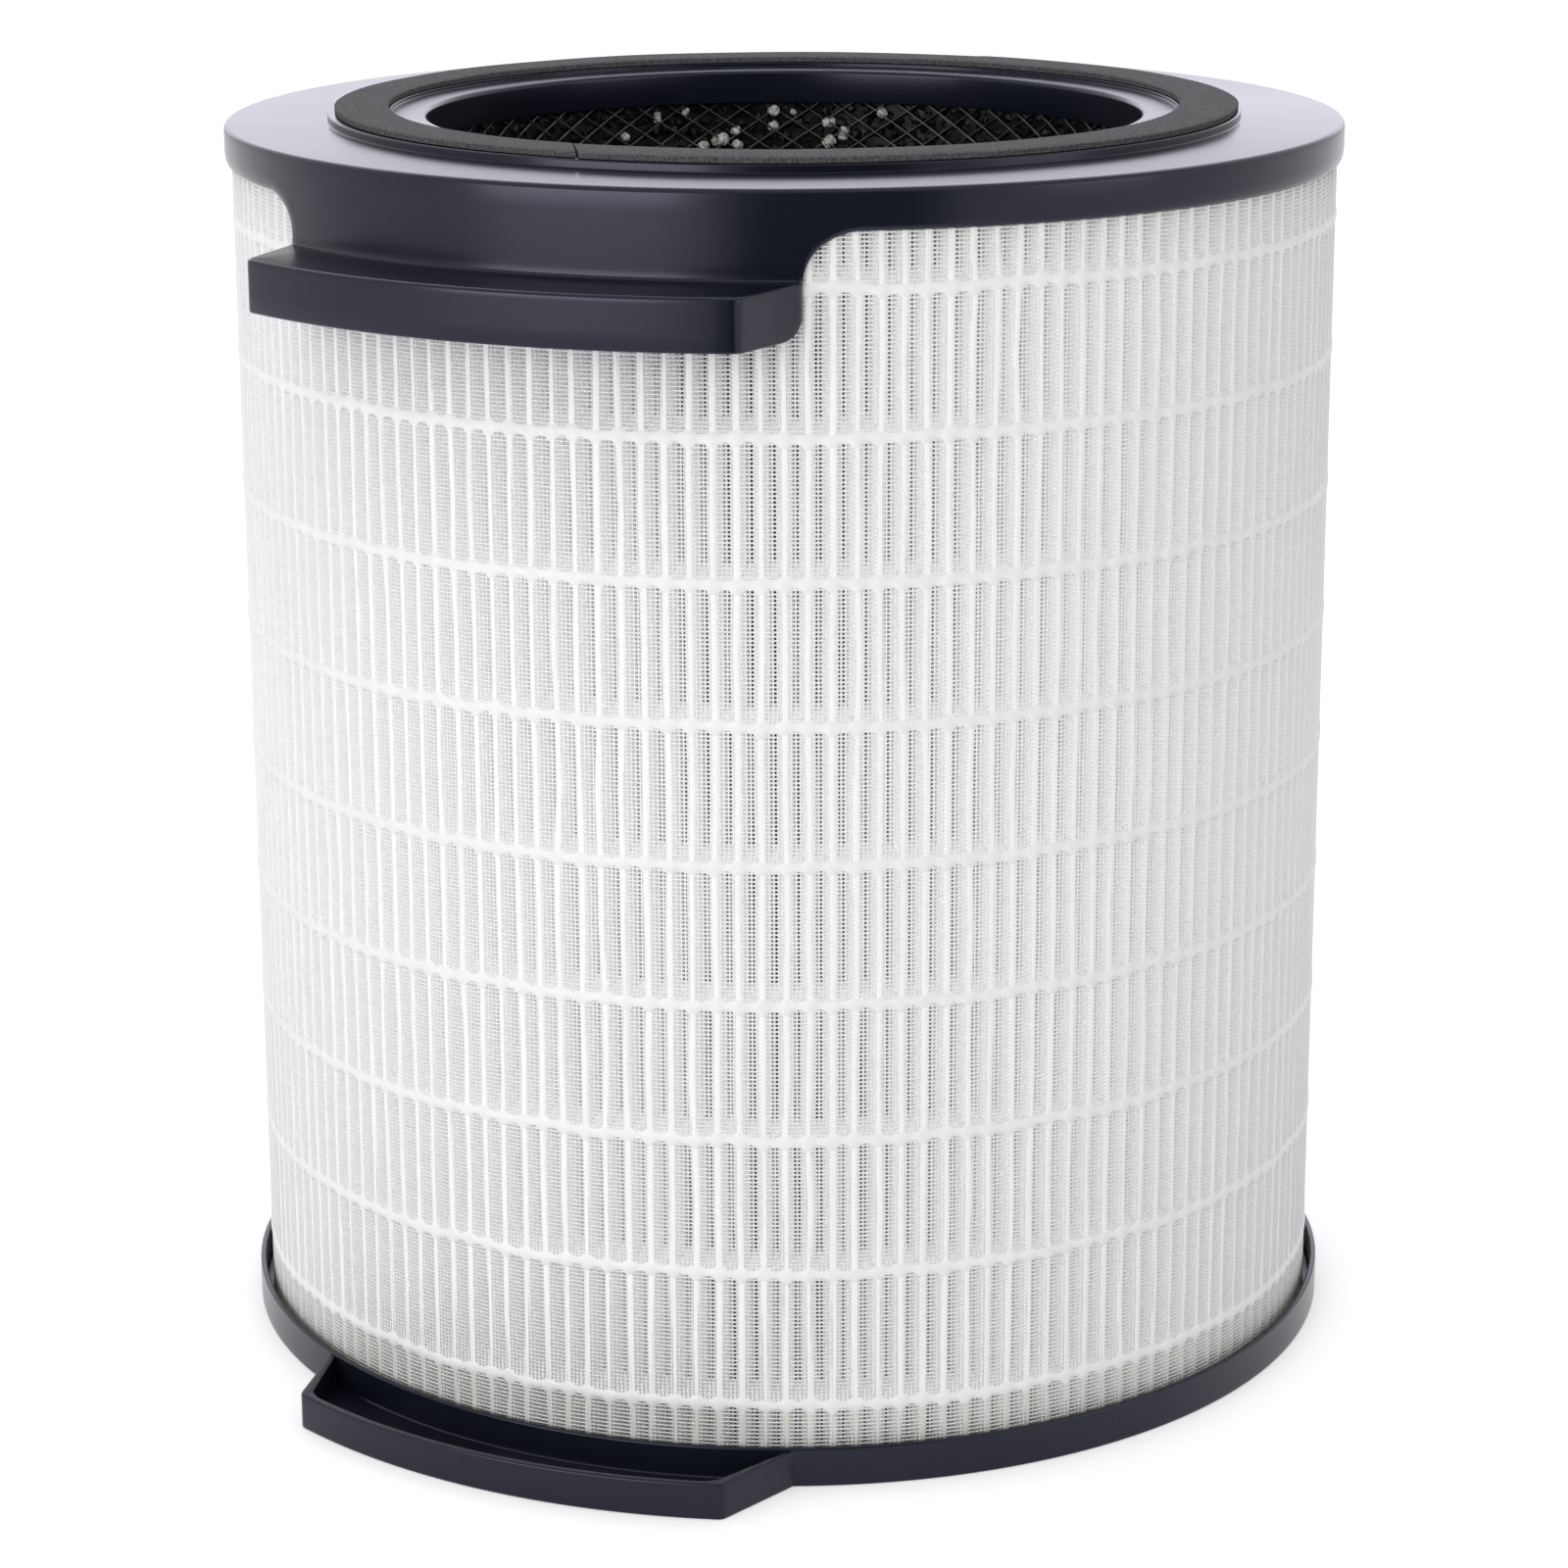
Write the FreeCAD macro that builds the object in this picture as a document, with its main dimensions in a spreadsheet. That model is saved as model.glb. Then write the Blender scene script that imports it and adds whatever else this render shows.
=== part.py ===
import FreeCAD, Part
import math
import os
import re

import Sketcher
from FreeCAD import Placement, Rotation, Vector

# Cylindrical air purifier filter cartridge, millimetres, +Z up.
# The axis of the cylinder is Z and the underside of the bottom cap is at z = 0.
# Both pull handles face -Y.

SIZES = [
    # overall
    ("rim_radius", 135.0, "outer radius of the top cap"),
    ("base_flare", 1.6, "how much further out than the top cap the bottom cap reaches"),
    ("top_face", 299.2, "height of the top cap's flat face"),
    # top cap section
    ("rim_wall", 1.2, "wall of the rim skirt"),
    ("rim_depth", 9.2, "depth of the rim skirt below the flat face"),
    ("rim_round", 2.5, "radius of the rim's upper edge"),
    ("rim_tuck", 3.2, "height over which the skirt's lower edge curves in"),
    ("plate", 2.0, "wall of the flat ring"),
    ("ledge_rise", 1.0, "height of the inner ledge above the flat face"),
    ("ledge_width", 8.7, "width of the inner ledge"),
    ("land_width", 15.0, "width of the seal land"),
    ("land_rise", 2.0, "height of the seal land above the flat face"),
    ("ring_width", 48.5, "from the bore to the rim"),
    ("bore_round", 1.2, "radius of the bore's lip"),
    ("collar_wall", 1.4, "wall of the collar round the bore"),
    ("collar_depth", 8.4, "depth of the collar below the ledge"),
    # handles
    ("handle_reach", 20.0, "how far the lip and the tab stand out past the rim"),
    ("apron_half", 64.8, "half width of the apron"),
    ("apron_corner", 11.5, "radius of the apron's concave corners"),
    ("apron_drop", 20.0, "from the flat face to the lip's upper face"),
    ("lip_half", 61.6, "half width of the lip at its front corners"),
    ("lip_height", 12.0, "height of the lip"),
    ("lip_wall", 2.0, "wall of the lip"),
    ("lip_corner", 4.5, "radius of the lip's front corners"),
    ("cheek_round", 8.0, "radius of the cheeks' lower rear corner"),
    ("tab_half", 56.8, "half width of the tab at its front corners"),
    ("tab_root", 63.1, "half width of the tab where it leaves the bottom cap"),
    ("tab_height", 8.9, "height of the tab"),
    ("tab_wall", 1.8, "wall of the tab"),
    ("tab_corner", 2.5, "radius of the tab's front corners"),
    # bottom cap section
    ("base_wall", 1.5, "wall of the bottom cap's rim"),
    ("base_depth", 9.6, "height of the bottom cap's rim"),
    ("base_floor", 2.0, "wall of the bottom cap's floor"),
    # seal
    ("seal_inset", 0.4, "from the land's inner edge to the foam seal"),
    ("seal_width", 13.0, "width of the foam seal's left half"),
    ("seal_step", 0.8, "how much further out the right half reaches"),
    ("seal_thick", 1.8, "thickness of the foam seal"),
    ("seam_slant", 3.5, "sideways run of the seam to each side of the middle"),
    ("seam_gap", 0.3, "gap between the two halves"),
    # pleats
    ("pleat_count", 160, "number of pleats"),
    ("pleat_sheet", 0.9, "thickness of the laminated sheet"),
    ("fold_width", 2.0, "width of an outer fold"),
    # glue lines
    ("glue_count", 9, "number of glue lines"),
    ("glue_first", 18.8, "height of the lowest glue line"),
    ("glue_drop", 22.0, "from the flat face down to the uppermost glue line"),
    ("glue_height", 4.0, "height of a glue line"),
    ("glue_thick", 0.4, "thickness of a glue line over the folds"),
    # outer net
    ("wrap_sides", 30, "flats of the net, the glue lines and the sleeve"),
    ("net_thick", 0.35, "thickness of the outer net"),
    ("net_thread", 1.0, "width of the net's bars"),
    ("net_rows", 1, "rows of gaps in the outer net"),
    ("net_hem", 3.0, "height of the net's closed edges"),
    # core
    ("core_sides", 24, "flats of the core netting"),
    ("core_rows", 3, "rows of diamond gaps in the core netting"),
    ("core_thick", 0.8, "thickness of the core netting"),
    ("core_strand", 2.2, "width of the core netting's strands"),
    ("bed_depth", 13.2, "thickness of the granule bed"),
    ("screen_thick", 0.5, "thickness of the sleeve round the bed"),
    ("clearance", 0.05, "gap between pieces that are pushed together"),
]

# Lengths that several pieces share, in words of the sheet
BASE_RADIUS = "(rim_radius + base_flare)"
HANDLE_RADIUS = "(rim_radius + handle_reach)"
BORE_RADIUS = "(rim_radius - ring_width)"
LAND_INNER = f"({BORE_RADIUS} + ledge_width)"
LAND_OUTER = f"({LAND_INNER} + land_width)"
SEAL_INNER = f"({LAND_INNER} + seal_inset)"
SEAL_OUTER = f"({SEAL_INNER} + seal_width)"
SKIRT_INNER = "(rim_radius - rim_wall)"
SKIRT_BOTTOM = "(top_face - rim_depth)"
PLATE_UNDER = "(top_face - plate)"
LAND_TOP = "(top_face + land_rise)"
LEDGE_TOP = "(top_face + ledge_rise)"
COLLAR_OUTER = f"({BORE_RADIUS} + collar_wall)"
PACK_BOTTOM = "(base_floor + clearance)"
PACK_TOP = "(top_face - plate - clearance)"
NET_INNER = "((rim_radius - rim_wall - clearance) * cos(180 / wrap_sides) - net_thick)"
GLUE_INNER = f"({NET_INNER} - clearance - glue_thick)"
PLEAT_OUTER = f"({GLUE_INNER} - clearance)"
NET_BOTTOM = "(base_depth + clearance)"
NET_TOP = "(top_face - rim_depth - clearance)"
CORE_INNER = f"({COLLAR_OUTER} + clearance)"
BED_INNER = f"({CORE_INNER} + core_thick + clearance)"
BED_OUTER = f"({BED_INNER} + bed_depth)"
SCREEN_INNER = f"({BED_OUTER} + clearance)"
PLEAT_INNER = f"(({SCREEN_INNER} + screen_thick) / cos(180 / wrap_sides) + clearance)"
GLUE_PITCH = "((top_face - glue_drop - glue_first) / (glue_count - 1))"
LIP_TOP = "(top_face - apron_drop)"
LIP_BOTTOM = "(top_face - apron_drop - lip_height)"

# What counts as the same place, in millimetres, and how far off upright an upright edge may lean
SAME_PLACE = 0.01
LEAN_DEGREES = 5.0

DOC = FreeCAD.newDocument("filter_cartridge")
SHEET = DOC.addObject("Spreadsheet::Sheet", "sizes")


def fill_sheet():
    """One row for each driving dimension: value, alias and note."""
    for row, (alias, value, note) in enumerate(SIZES, start=1):
        SHEET.set(f"A{row}", note)
        SHEET.set(f"B{row}", str(value))
        SHEET.setAlias(f"B{row}", alias)
    DOC.recompute()


def words(expression):
    """The expression with each alias named as a cell of the sheet."""
    names = "|".join(sorted((alias for alias, _, _ in SIZES), key=len, reverse=True))
    return re.sub(rf"\b({names})\b", r"sizes.\1", expression)


def value(expression):
    """The number that an expression in words of the sheet gives now."""
    result = SHEET.evalExpression(words(expression))
    return float(getattr(result, "Value", result))


def origin_plane(body, role):
    """The body's own XY_Plane, XZ_Plane or YZ_Plane."""
    return next(f for f in body.Origin.OriginFeatures if f.Role == role)


def new_sketch(body, name, role, lift="0"):
    """A sketch on one of the body's planes, lifted along the plane's normal."""
    sketch = body.newObject("Sketcher::SketchObject", name)
    sketch.AttachmentSupport = [(origin_plane(body, role), "")]
    sketch.MapMode = "FlatFace"
    sketch.setExpression("AttachmentOffset.Base.z", words(lift))
    DOC.recompute()
    return sketch


def pin_point(sketch, edge, end, x, y):
    """Hold one end of an edge at x, y from the sketch's origin."""
    for kind, expression in (("DistanceX", x), ("DistanceY", y)):
        number = sketch.addConstraint(
            Sketcher.Constraint(kind, -1, 1, edge, end, value(expression))
        )
        sketch.setExpression(f"Constraints[{number}]", words(expression))


def arc_between(start, end, radius, turn):
    """The arc from start to end: turn is 1 for counter-clockwise and -1 for clockwise."""
    middle = (start + end) * 0.5
    chord = end - start
    rise = math.sqrt(max(radius**2 - (chord.Length / 2) ** 2, 0.0))
    side = Vector(-chord.y, chord.x, 0).normalize() * turn
    centre = middle + side * rise
    first = math.atan2(start.y - centre.y, start.x - centre.x)
    last = math.atan2(end.y - centre.y, end.x - centre.x)
    circle = Part.Circle(centre, Vector(0, 0, 1), radius)
    if turn > 0:
        return Part.ArcOfCircle(circle, first, last)
    return Part.ArcOfCircle(circle, last, first)


def outline(sketch, corners):
    """A closed outline. Each corner is (x, y) or (x, y, radius, turn), in words of the sheet:
    the second form starts an arc of that radius to the next corner."""
    points = [Vector(value(corner[0]), value(corner[1]), 0) for corner in corners]
    ends = []
    for number, corner in enumerate(corners):
        start, end = points[number], points[(number + 1) % len(points)]
        if len(corner) == 2:
            edge = sketch.addGeometry(Part.LineSegment(start, end))
            ends.append((edge, 1, 2))
            continue
        turn = corner[3]
        edge = sketch.addGeometry(arc_between(start, end, value(corner[2]), turn))
        ends.append((edge, 1, 2) if turn > 0 else (edge, 2, 1))
    for number, (edge, first, last) in enumerate(ends):
        following, its_first, _ = ends[(number + 1) % len(ends)]
        sketch.addConstraint(Sketcher.Constraint("Coincident", edge, last, following, its_first))
        pin_point(sketch, edge, first, corners[number][0], corners[number][1])
        if len(corners[number]) == 4:
            held = sketch.addConstraint(Sketcher.Constraint("Radius", edge, value(corners[number][2])))
            sketch.setExpression(f"Constraints[{held}]", words(corners[number][2]))
    DOC.recompute()


def revolve(body, name, sketch):
    """The section turned once round the cylinder's axis."""
    turned = body.newObject("PartDesign::Revolution", name)
    turned.Profile = sketch
    turned.ReferenceAxis = (sketch, ["V_Axis"])
    turned.Angle = 360.0
    DOC.recompute()
    return turned


def pad(body, name, sketch, length, reverse=False):
    """The sketch raised by a length."""
    raised = body.newObject("PartDesign::Pad", name)
    raised.Profile = sketch
    raised.setExpression("Length", words(length))
    raised.Reversed = reverse
    DOC.recompute()
    return raised


def pocket(body, name, sketch, length, reverse=False, both=False):
    """The sketch cut out to a depth, with a check that the cut took something away."""
    before = body.Shape.Volume
    cut = body.newObject("PartDesign::Pocket", name)
    cut.Profile = sketch
    cut.setExpression("Length", words(length))
    cut.Reversed = reverse
    cut.Midplane = both
    DOC.recompute()
    if body.Shape.Volume >= before - 1e-6:
        raise RuntimeError(f"{name} cut nothing")
    return cut


def fillet(body, name, base, edges, radius):
    """A round of one radius along edges of the feature before."""
    rounded = body.newObject("PartDesign::Fillet", name)
    rounded.Base = (base, edges)
    rounded.setExpression("Radius", words(radius))
    DOC.recompute()
    return rounded


def edges_where(shape, test):
    """The names of a shape's edges whose middle point passes the test."""
    found = []
    for number, edge in enumerate(shape.Edges, start=1):
        middle = edge.valueAt((edge.FirstParameter + edge.LastParameter) / 2)
        if test(edge, middle):
            found.append(f"Edge{number}")
    return found


def upright_at(half_width, radius):
    """A test for the two upright edges at x = +-half_width on a radius."""
    x = value(half_width)
    y = -math.sqrt(value(radius) ** 2 - x**2)

    def test(edge, middle):
        upright = abs(edge.tangentAt(edge.FirstParameter).z) > math.cos(math.radians(LEAN_DEGREES))
        return upright and abs(abs(middle.x) - x) < SAME_PLACE and abs(middle.y - y) < SAME_PLACE

    return test


def new_body(label):
    """An empty body whose label names its file."""
    body = DOC.addObject("PartDesign::Body", label)
    body.Label = label
    return body


def chord_y(radius, half_width):
    """The y, on the -Y side, where a circle about the axis has a half width."""
    return f"-sqrt({radius}^2 - {half_width}^2)"


def top_cap():
    """The upper moulding: rim, seal land, ledge, bore with its collar, apron and finger lip."""
    body = new_body("top_cap")
    section = new_sketch(body, "cap_section", "XZ_Plane")
    # The rim's round edge is two bevels, and the skirt draws in over half its wall at the bottom.
    eased = "rim_round * (1 - cos(45))"
    outline(section, [
        (BORE_RADIUS, f"{LEDGE_TOP} - collar_depth"),
        (COLLAR_OUTER, f"{LEDGE_TOP} - collar_depth"),
        (COLLAR_OUTER, PLATE_UNDER),
        (SKIRT_INNER, PLATE_UNDER),
        (SKIRT_INNER, SKIRT_BOTTOM),
        ("rim_radius - rim_wall / 2", SKIRT_BOTTOM),
        ("rim_radius", f"{SKIRT_BOTTOM} + rim_tuck"),
        ("rim_radius", "top_face - rim_round"),
        (f"rim_radius - {eased}", f"top_face - {eased}"),
        ("rim_radius - rim_round", "top_face"),
        (LAND_OUTER, "top_face"),
        (LAND_OUTER, LAND_TOP),
        (LAND_INNER, LAND_TOP),
        (LAND_INNER, LEDGE_TOP),
        (f"{BORE_RADIUS} + bore_round", LEDGE_TOP),
        (BORE_RADIUS, f"{LEDGE_TOP} - bore_round"),
    ])
    revolve(body, "cap_ring", section)

    apron = new_sketch(body, "apron_plan", "XY_Plane", LIP_TOP)
    reach = "(apron_half + apron_corner)"
    outline(apron, [
        (f"-{reach}", chord_y("rim_radius", reach), "rim_radius", 1),
        (reach, chord_y("rim_radius", reach)),
        (reach, chord_y(SKIRT_INNER, reach), SKIRT_INNER, -1),
        (f"-{reach}", chord_y(SKIRT_INNER, reach)),
    ])
    pad(body, "apron", apron, "apron_drop - rim_depth + rim_tuck")
    for side, hand in ((1, "right"), (-1, "left")):
        corner = new_sketch(body, f"apron_corner_{hand}", "XZ_Plane")
        past = f"{side} * (apron_half + 2 * apron_corner)"
        outline(corner, [
            (f"{side} * apron_half", LIP_TOP + " - plate"),
            (f"{side} * apron_half", f"{SKIRT_BOTTOM} - apron_corner", "apron_corner", -side),
            (f"{side} * (apron_half + apron_corner)", SKIRT_BOTTOM),
            (past, SKIRT_BOTTOM),
            (past, LIP_TOP + " - plate"),
        ])
        pocket(body, f"apron_cut_{hand}", corner, "2 * rim_radius", reverse=True)

    plan = new_sketch(body, "lip_plan", "XY_Plane", LIP_BOTTOM)
    outline(plan, [
        ("-lip_half", chord_y(HANDLE_RADIUS, "lip_half"), HANDLE_RADIUS, 1),
        ("lip_half", chord_y(HANDLE_RADIUS, "lip_half")),
        ("apron_half", chord_y("rim_radius", "apron_half")),
        ("apron_half", chord_y(SKIRT_INNER, "apron_half"), SKIRT_INNER, -1),
        ("-apron_half", chord_y(SKIRT_INNER, "apron_half")),
        ("-apron_half", chord_y("rim_radius", "apron_half")),
    ])
    block = pad(body, "lip", plan, "lip_height")
    corners = edges_where(block.Shape, upright_at("lip_half", HANDLE_RADIUS))
    fillet(body, "lip_corners", block, corners, "lip_corner")

    hollow = new_sketch(body, "finger_plan", "XY_Plane", LIP_BOTTOM)
    inner_radius = f"({HANDLE_RADIUS} - lip_wall)"
    inner_front = "(lip_half - 1.5 * lip_wall)"
    inner_root = "(apron_half - lip_wall)"
    outline(hollow, [
        (f"-{inner_front}", chord_y(inner_radius, inner_front), inner_radius, 1),
        (inner_front, chord_y(inner_radius, inner_front)),
        (inner_root, chord_y("rim_radius", inner_root)),
        (inner_root, f"{chord_y(SKIRT_INNER, inner_root)} + lip_wall"),
        (f"-{inner_root}", f"{chord_y(SKIRT_INNER, inner_root)} + lip_wall"),
        (f"-{inner_root}", chord_y("rim_radius", inner_root)),
    ])
    pocket(body, "finger_hollow", hollow, "lip_height - lip_wall", reverse=True)

    cheek = new_sketch(body, "cheek_profile", "YZ_Plane")
    rear = chord_y(SKIRT_INNER, "apron_half")
    outline(cheek, [
        (f"{rear} + lip_wall", LIP_BOTTOM + " - lip_wall"),
        (f"{rear} + lip_wall", LIP_BOTTOM + " + cheek_round"),
        (rear, LIP_BOTTOM + " + cheek_round", "cheek_round", 1),
        (f"{rear} - cheek_round", LIP_BOTTOM),
        (f"{rear} - cheek_round", LIP_BOTTOM + " - lip_wall"),
    ])
    pocket(body, "cheek_cut", cheek, "4 * apron_half", both=True)
    return body


def bottom_cap():
    """The lower moulding: a shallow pan, closed below, and the tray tab."""
    body = new_body("bottom_cap")
    section = new_sketch(body, "pan_section", "XZ_Plane")
    inner = f"({BASE_RADIUS} - base_wall)"
    outline(section, [
        ("0", "0"),
        (BASE_RADIUS, "0"),
        (BASE_RADIUS, "base_depth"),
        (inner, "base_depth"),
        (inner, "base_floor"),
        ("0", "base_floor"),
    ])
    revolve(body, "pan", section)

    plan = new_sketch(body, "tab_plan", "XY_Plane")
    outline(plan, [
        ("-tab_half", chord_y(HANDLE_RADIUS, "tab_half"), HANDLE_RADIUS, 1),
        ("tab_half", chord_y(HANDLE_RADIUS, "tab_half")),
        ("tab_root", chord_y(BASE_RADIUS, "tab_root")),
        ("tab_root", chord_y(inner, "tab_root"), inner, -1),
        ("-tab_root", chord_y(inner, "tab_root")),
        ("-tab_root", chord_y(BASE_RADIUS, "tab_root")),
    ])
    block = pad(body, "tab", plan, "tab_height")
    corners = edges_where(block.Shape, upright_at("tab_half", HANDLE_RADIUS))
    fillet(body, "tab_corners", block, corners, "tab_corner")

    tray = new_sketch(body, "tray_plan", "XY_Plane", "base_floor")
    inner_radius = f"({HANDLE_RADIUS} - tab_wall)"
    inner_front = "(tab_half - 1.5 * tab_wall)"
    inner_root = "(tab_root - tab_wall)"
    outline(tray, [
        (f"-{inner_front}", chord_y(inner_radius, inner_front), inner_radius, 1),
        (inner_front, chord_y(inner_radius, inner_front)),
        (inner_root, chord_y(BASE_RADIUS, inner_root), BASE_RADIUS, -1),
        (f"-{inner_root}", chord_y(BASE_RADIUS, inner_root)),
    ])
    pocket(body, "tray", tray, "tab_height", reverse=True)
    return body


def seal_half(label, side, outer):
    """One half of the foam seal: side is 1 for the right half and -1 for the left one."""
    body = new_body(label)
    plan = new_sketch(body, label + "_plan", "XY_Plane", LAND_TOP)
    gap = f"{side} * 0.5 * seam_gap"
    # The seam at the front runs outwards to the right, and so does the one at the back.
    near = f"({gap} - seam_slant + 2 * seam_slant * ({outer} - {SEAL_INNER}) / seal_width)"
    far = f"({gap} - seam_slant)"
    outline(plan, [
        (near, chord_y(outer, near), outer, side),
        (f"{side} * {outer}", "0", outer, side),
        (near, f"-({chord_y(outer, near)})"),
        (far, f"-({chord_y(SEAL_INNER, far)})", SEAL_INNER, -side),
        (f"{side} * {SEAL_INNER}", "0", SEAL_INNER, -side),
        (far, chord_y(SEAL_INNER, far)),
    ])
    pad(body, label + "_foam", plan, "seal_thick")
    return body


def shape_object(label, shape, height="0"):
    """A sub-part whose shape is worked out here and lifted to its place."""
    made = DOC.addObject("Part::Feature", label)
    made.Label = label
    made.Shape = shape
    made.Placement = Placement(Vector(0, 0, value(height)), Rotation())
    return made


def polar(radius, sideways, angle):
    """The point at a radius on the ray at an angle, moved sideways across the ray."""
    along = Vector(math.cos(angle), math.sin(angle), 0)
    across = Vector(-math.sin(angle), math.cos(angle), 0)
    return along * math.sqrt(radius**2 - sideways**2) + across * sideways


def fold_loop(count, outer, inner, outer_half, inner_half):
    """A closed zigzag with a flat or a point at each outer and each inner fold."""
    points = []
    for number in range(count):
        fold = 2 * math.pi * number / count - math.pi / 2
        valley = fold + math.pi / count
        for radius, half, angle in ((outer, outer_half, fold), (inner, inner_half, valley)):
            if half == 0:
                points.append(polar(radius, 0, angle))
            else:
                points += [polar(radius, -half, angle), polar(radius, half, angle)]
    return Part.makePolygon(points + points[:1])


def pleated_media():
    """One sheet folded all round: flat outer folds, pointed valleys between them."""
    count = int(value("pleat_count"))
    outer, inner = value(PLEAT_OUTER), value(PLEAT_INNER)
    sheet = value("pleat_sheet")
    outside = fold_loop(count, outer, inner + sheet, value("fold_width") / 2, 0)
    inside = fold_loop(count, outer - sheet, inner, 0, sheet)
    ring = Part.makeFace([outside, inside], "Part::FaceMakerBullseye")
    shape = ring.extrude(Vector(0, 0, value(f"{PACK_TOP} - {PACK_BOTTOM}")))
    return shape_object("pleated_media", shape, PACK_BOTTOM)


def prism(name, sides, inradius, height, lift):
    """A regular prism on the axis, sized across its flats, with a flat facing -Y."""
    made = DOC.addObject("Part::Prism", name)
    made.setExpression("Polygon", words(sides))
    made.setExpression("Circumradius", words(f"{inradius} / cos(180 / {sides})"))
    made.setExpression("Height", words(height))
    made.setExpression("Placement.Base.z", words(lift))
    made.Placement.Rotation = Rotation(Vector(0, 0, 1), 90 - 180 / value(sides))
    return made


def flat_points(sides, inradius, height=0.0):
    """The corners of a regular polygon sized across its flats, with a flat facing -Y."""
    turn = -math.pi / 2 + math.pi / sides
    corner = inradius / math.cos(math.pi / sides)
    angles = [turn + 2 * math.pi * number / sides for number in range(sides)]
    return [polar(corner, 0, angle) + Vector(0, 0, height) for angle in angles]


def glue_line(number):
    """One level line of hot melt that runs straight from fold to fold, highest in its middle."""
    sides, height = int(value("wrap_sides")), value("glue_height")
    inner, outer = value(GLUE_INNER), value(f"{GLUE_INNER} + glue_thick")
    rings = [
        flat_points(sides, inner),
        flat_points(sides, outer, height / 2),
        flat_points(sides, inner, height),
    ]
    faces = []
    for low, high in ((rings[0], rings[1]), (rings[1], rings[2]), (rings[2], rings[0])):
        for side in range(sides):
            after = (side + 1) % sides
            corners = [low[side], low[after], high[after], high[side], low[side]]
            faces.append(Part.Face(Part.makePolygon(corners)))
    bead = Part.makeSolid(Part.makeShell(faces))
    underside = f"glue_first + {number} * {GLUE_PITCH} - glue_height / 2"
    return shape_object(f"glue_line_{number + 1}", bead, underside)


def flat_tube(sides, inradius, thick, height):
    """A tube with flats, one of them facing -Y, standing on z = 0."""
    rings = []
    for across in (inradius + thick, inradius):
        points = flat_points(sides, across)
        rings.append(Part.makePolygon(points + points[:1]))
    return Part.makeFace(rings, "Part::FaceMakerBullseye").extrude(Vector(0, 0, height))


def gap_tools(window, sides, inradius, thick, lifts):
    """Copies of a window's outline pushed through the wall, on each flat and at each height."""
    tools = []
    for number in range(sides):
        for lift in lifts:
            tool = window.extrude(Vector(0, -3 * thick, 0))
            tool.translate(Vector(0, thick - inradius, lift))
            tool.rotate(Vector(0, 0, 0), Vector(0, 0, 1), 360 * number / sides)
            tools.append(tool)
    return Part.makeCompound(tools)


def outer_net():
    """The net round the pleats, drawn straight over the folds: bars with open windows."""
    sides, rows = int(value("wrap_sides")), int(value("net_rows"))
    inradius, thick = value(NET_INNER), value("net_thick")
    thread, hem = value("net_thread"), value("net_hem")
    height = value(f"{NET_TOP} - {NET_BOTTOM}")
    wide = 2 * inradius * math.tan(math.pi / sides) - thread
    tall = (height - 2 * hem - (rows - 1) * thread) / rows
    window = Part.Face(Part.makePolygon([
        Vector(-wide / 2, 0, 0), Vector(wide / 2, 0, 0),
        Vector(wide / 2, 0, tall), Vector(-wide / 2, 0, tall), Vector(-wide / 2, 0, 0),
    ]))
    lifts = [hem + row * (tall + thread) for row in range(rows)]
    wall = flat_tube(sides, inradius, thick, height)
    shape = wall.cut(gap_tools(window, sides, inradius, thick, lifts))
    return shape_object("outer_net", shape, NET_BOTTOM)


def core_net():
    """The extruded netting that lines the bore: crossing strands that leave diamond gaps."""
    sides, rows = int(value("core_sides")), int(value("core_rows"))
    inradius, thick, strand = value(CORE_INNER), value("core_thick"), value("core_strand")
    height = value(f"{PACK_TOP} - {PACK_BOTTOM}")
    cell_wide = 2 * inradius * math.tan(math.pi / sides)
    cell_tall = height / rows
    # A strand of one width all along leaves less across than down a tall diamond.
    slant = math.hypot(cell_wide, cell_tall)
    half_wide = cell_wide / 2 - strand * slant / cell_tall / 2
    half_tall = cell_tall / 2 - strand * slant / cell_wide / 2
    window = Part.Face(Part.makePolygon([
        Vector(-half_wide, 0, 0), Vector(0, 0, -half_tall),
        Vector(half_wide, 0, 0), Vector(0, 0, half_tall), Vector(-half_wide, 0, 0),
    ]))
    lifts = [(row + 0.5) * cell_tall for row in range(rows)]
    wall = flat_tube(sides, inradius, thick, height)
    shape = wall.cut(gap_tools(window, sides, inradius, thick, lifts))
    return shape_object("core_net", shape, PACK_BOTTOM)


def flat_ring(label, outer_sides, outer, inner_sides, inner):
    """A layer as high as the pack, with flats outside and inside."""
    height = f"{PACK_TOP} - {PACK_BOTTOM}"
    ring = DOC.addObject("Part::Cut", label)
    ring.Label = label
    ring.Base = prism(label + "_outside", outer_sides, outer, height, PACK_BOTTOM)
    ring.Tool = prism(label + "_inside", inner_sides, inner, height, PACK_BOTTOM)
    return ring


def carbon_bed():
    """The packed granules, which press flat against the netting's flats and the sleeve's."""
    return flat_ring("carbon_bed", "wrap_sides", BED_OUTER, "core_sides", BED_INNER)


def bed_screen():
    """The sleeve that keeps the granules out of the pleats."""
    outer = f"({SCREEN_INNER} + screen_thick)"
    return flat_ring("bed_screen", "wrap_sides", outer, "wrap_sides", SCREEN_INNER)


def check_objects(parts):
    """Stop if any object failed, or any sub-part has no sound shape."""
    for item in DOC.Objects:
        if "Invalid" in item.State or "Error" in item.State:
            raise RuntimeError(f"{item.Label} failed: {item.State}")
    for part in parts:
        if part.Shape.isNull() or not part.Shape.isValid():
            raise RuntimeError(f"{part.Label} has no valid shape")


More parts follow.
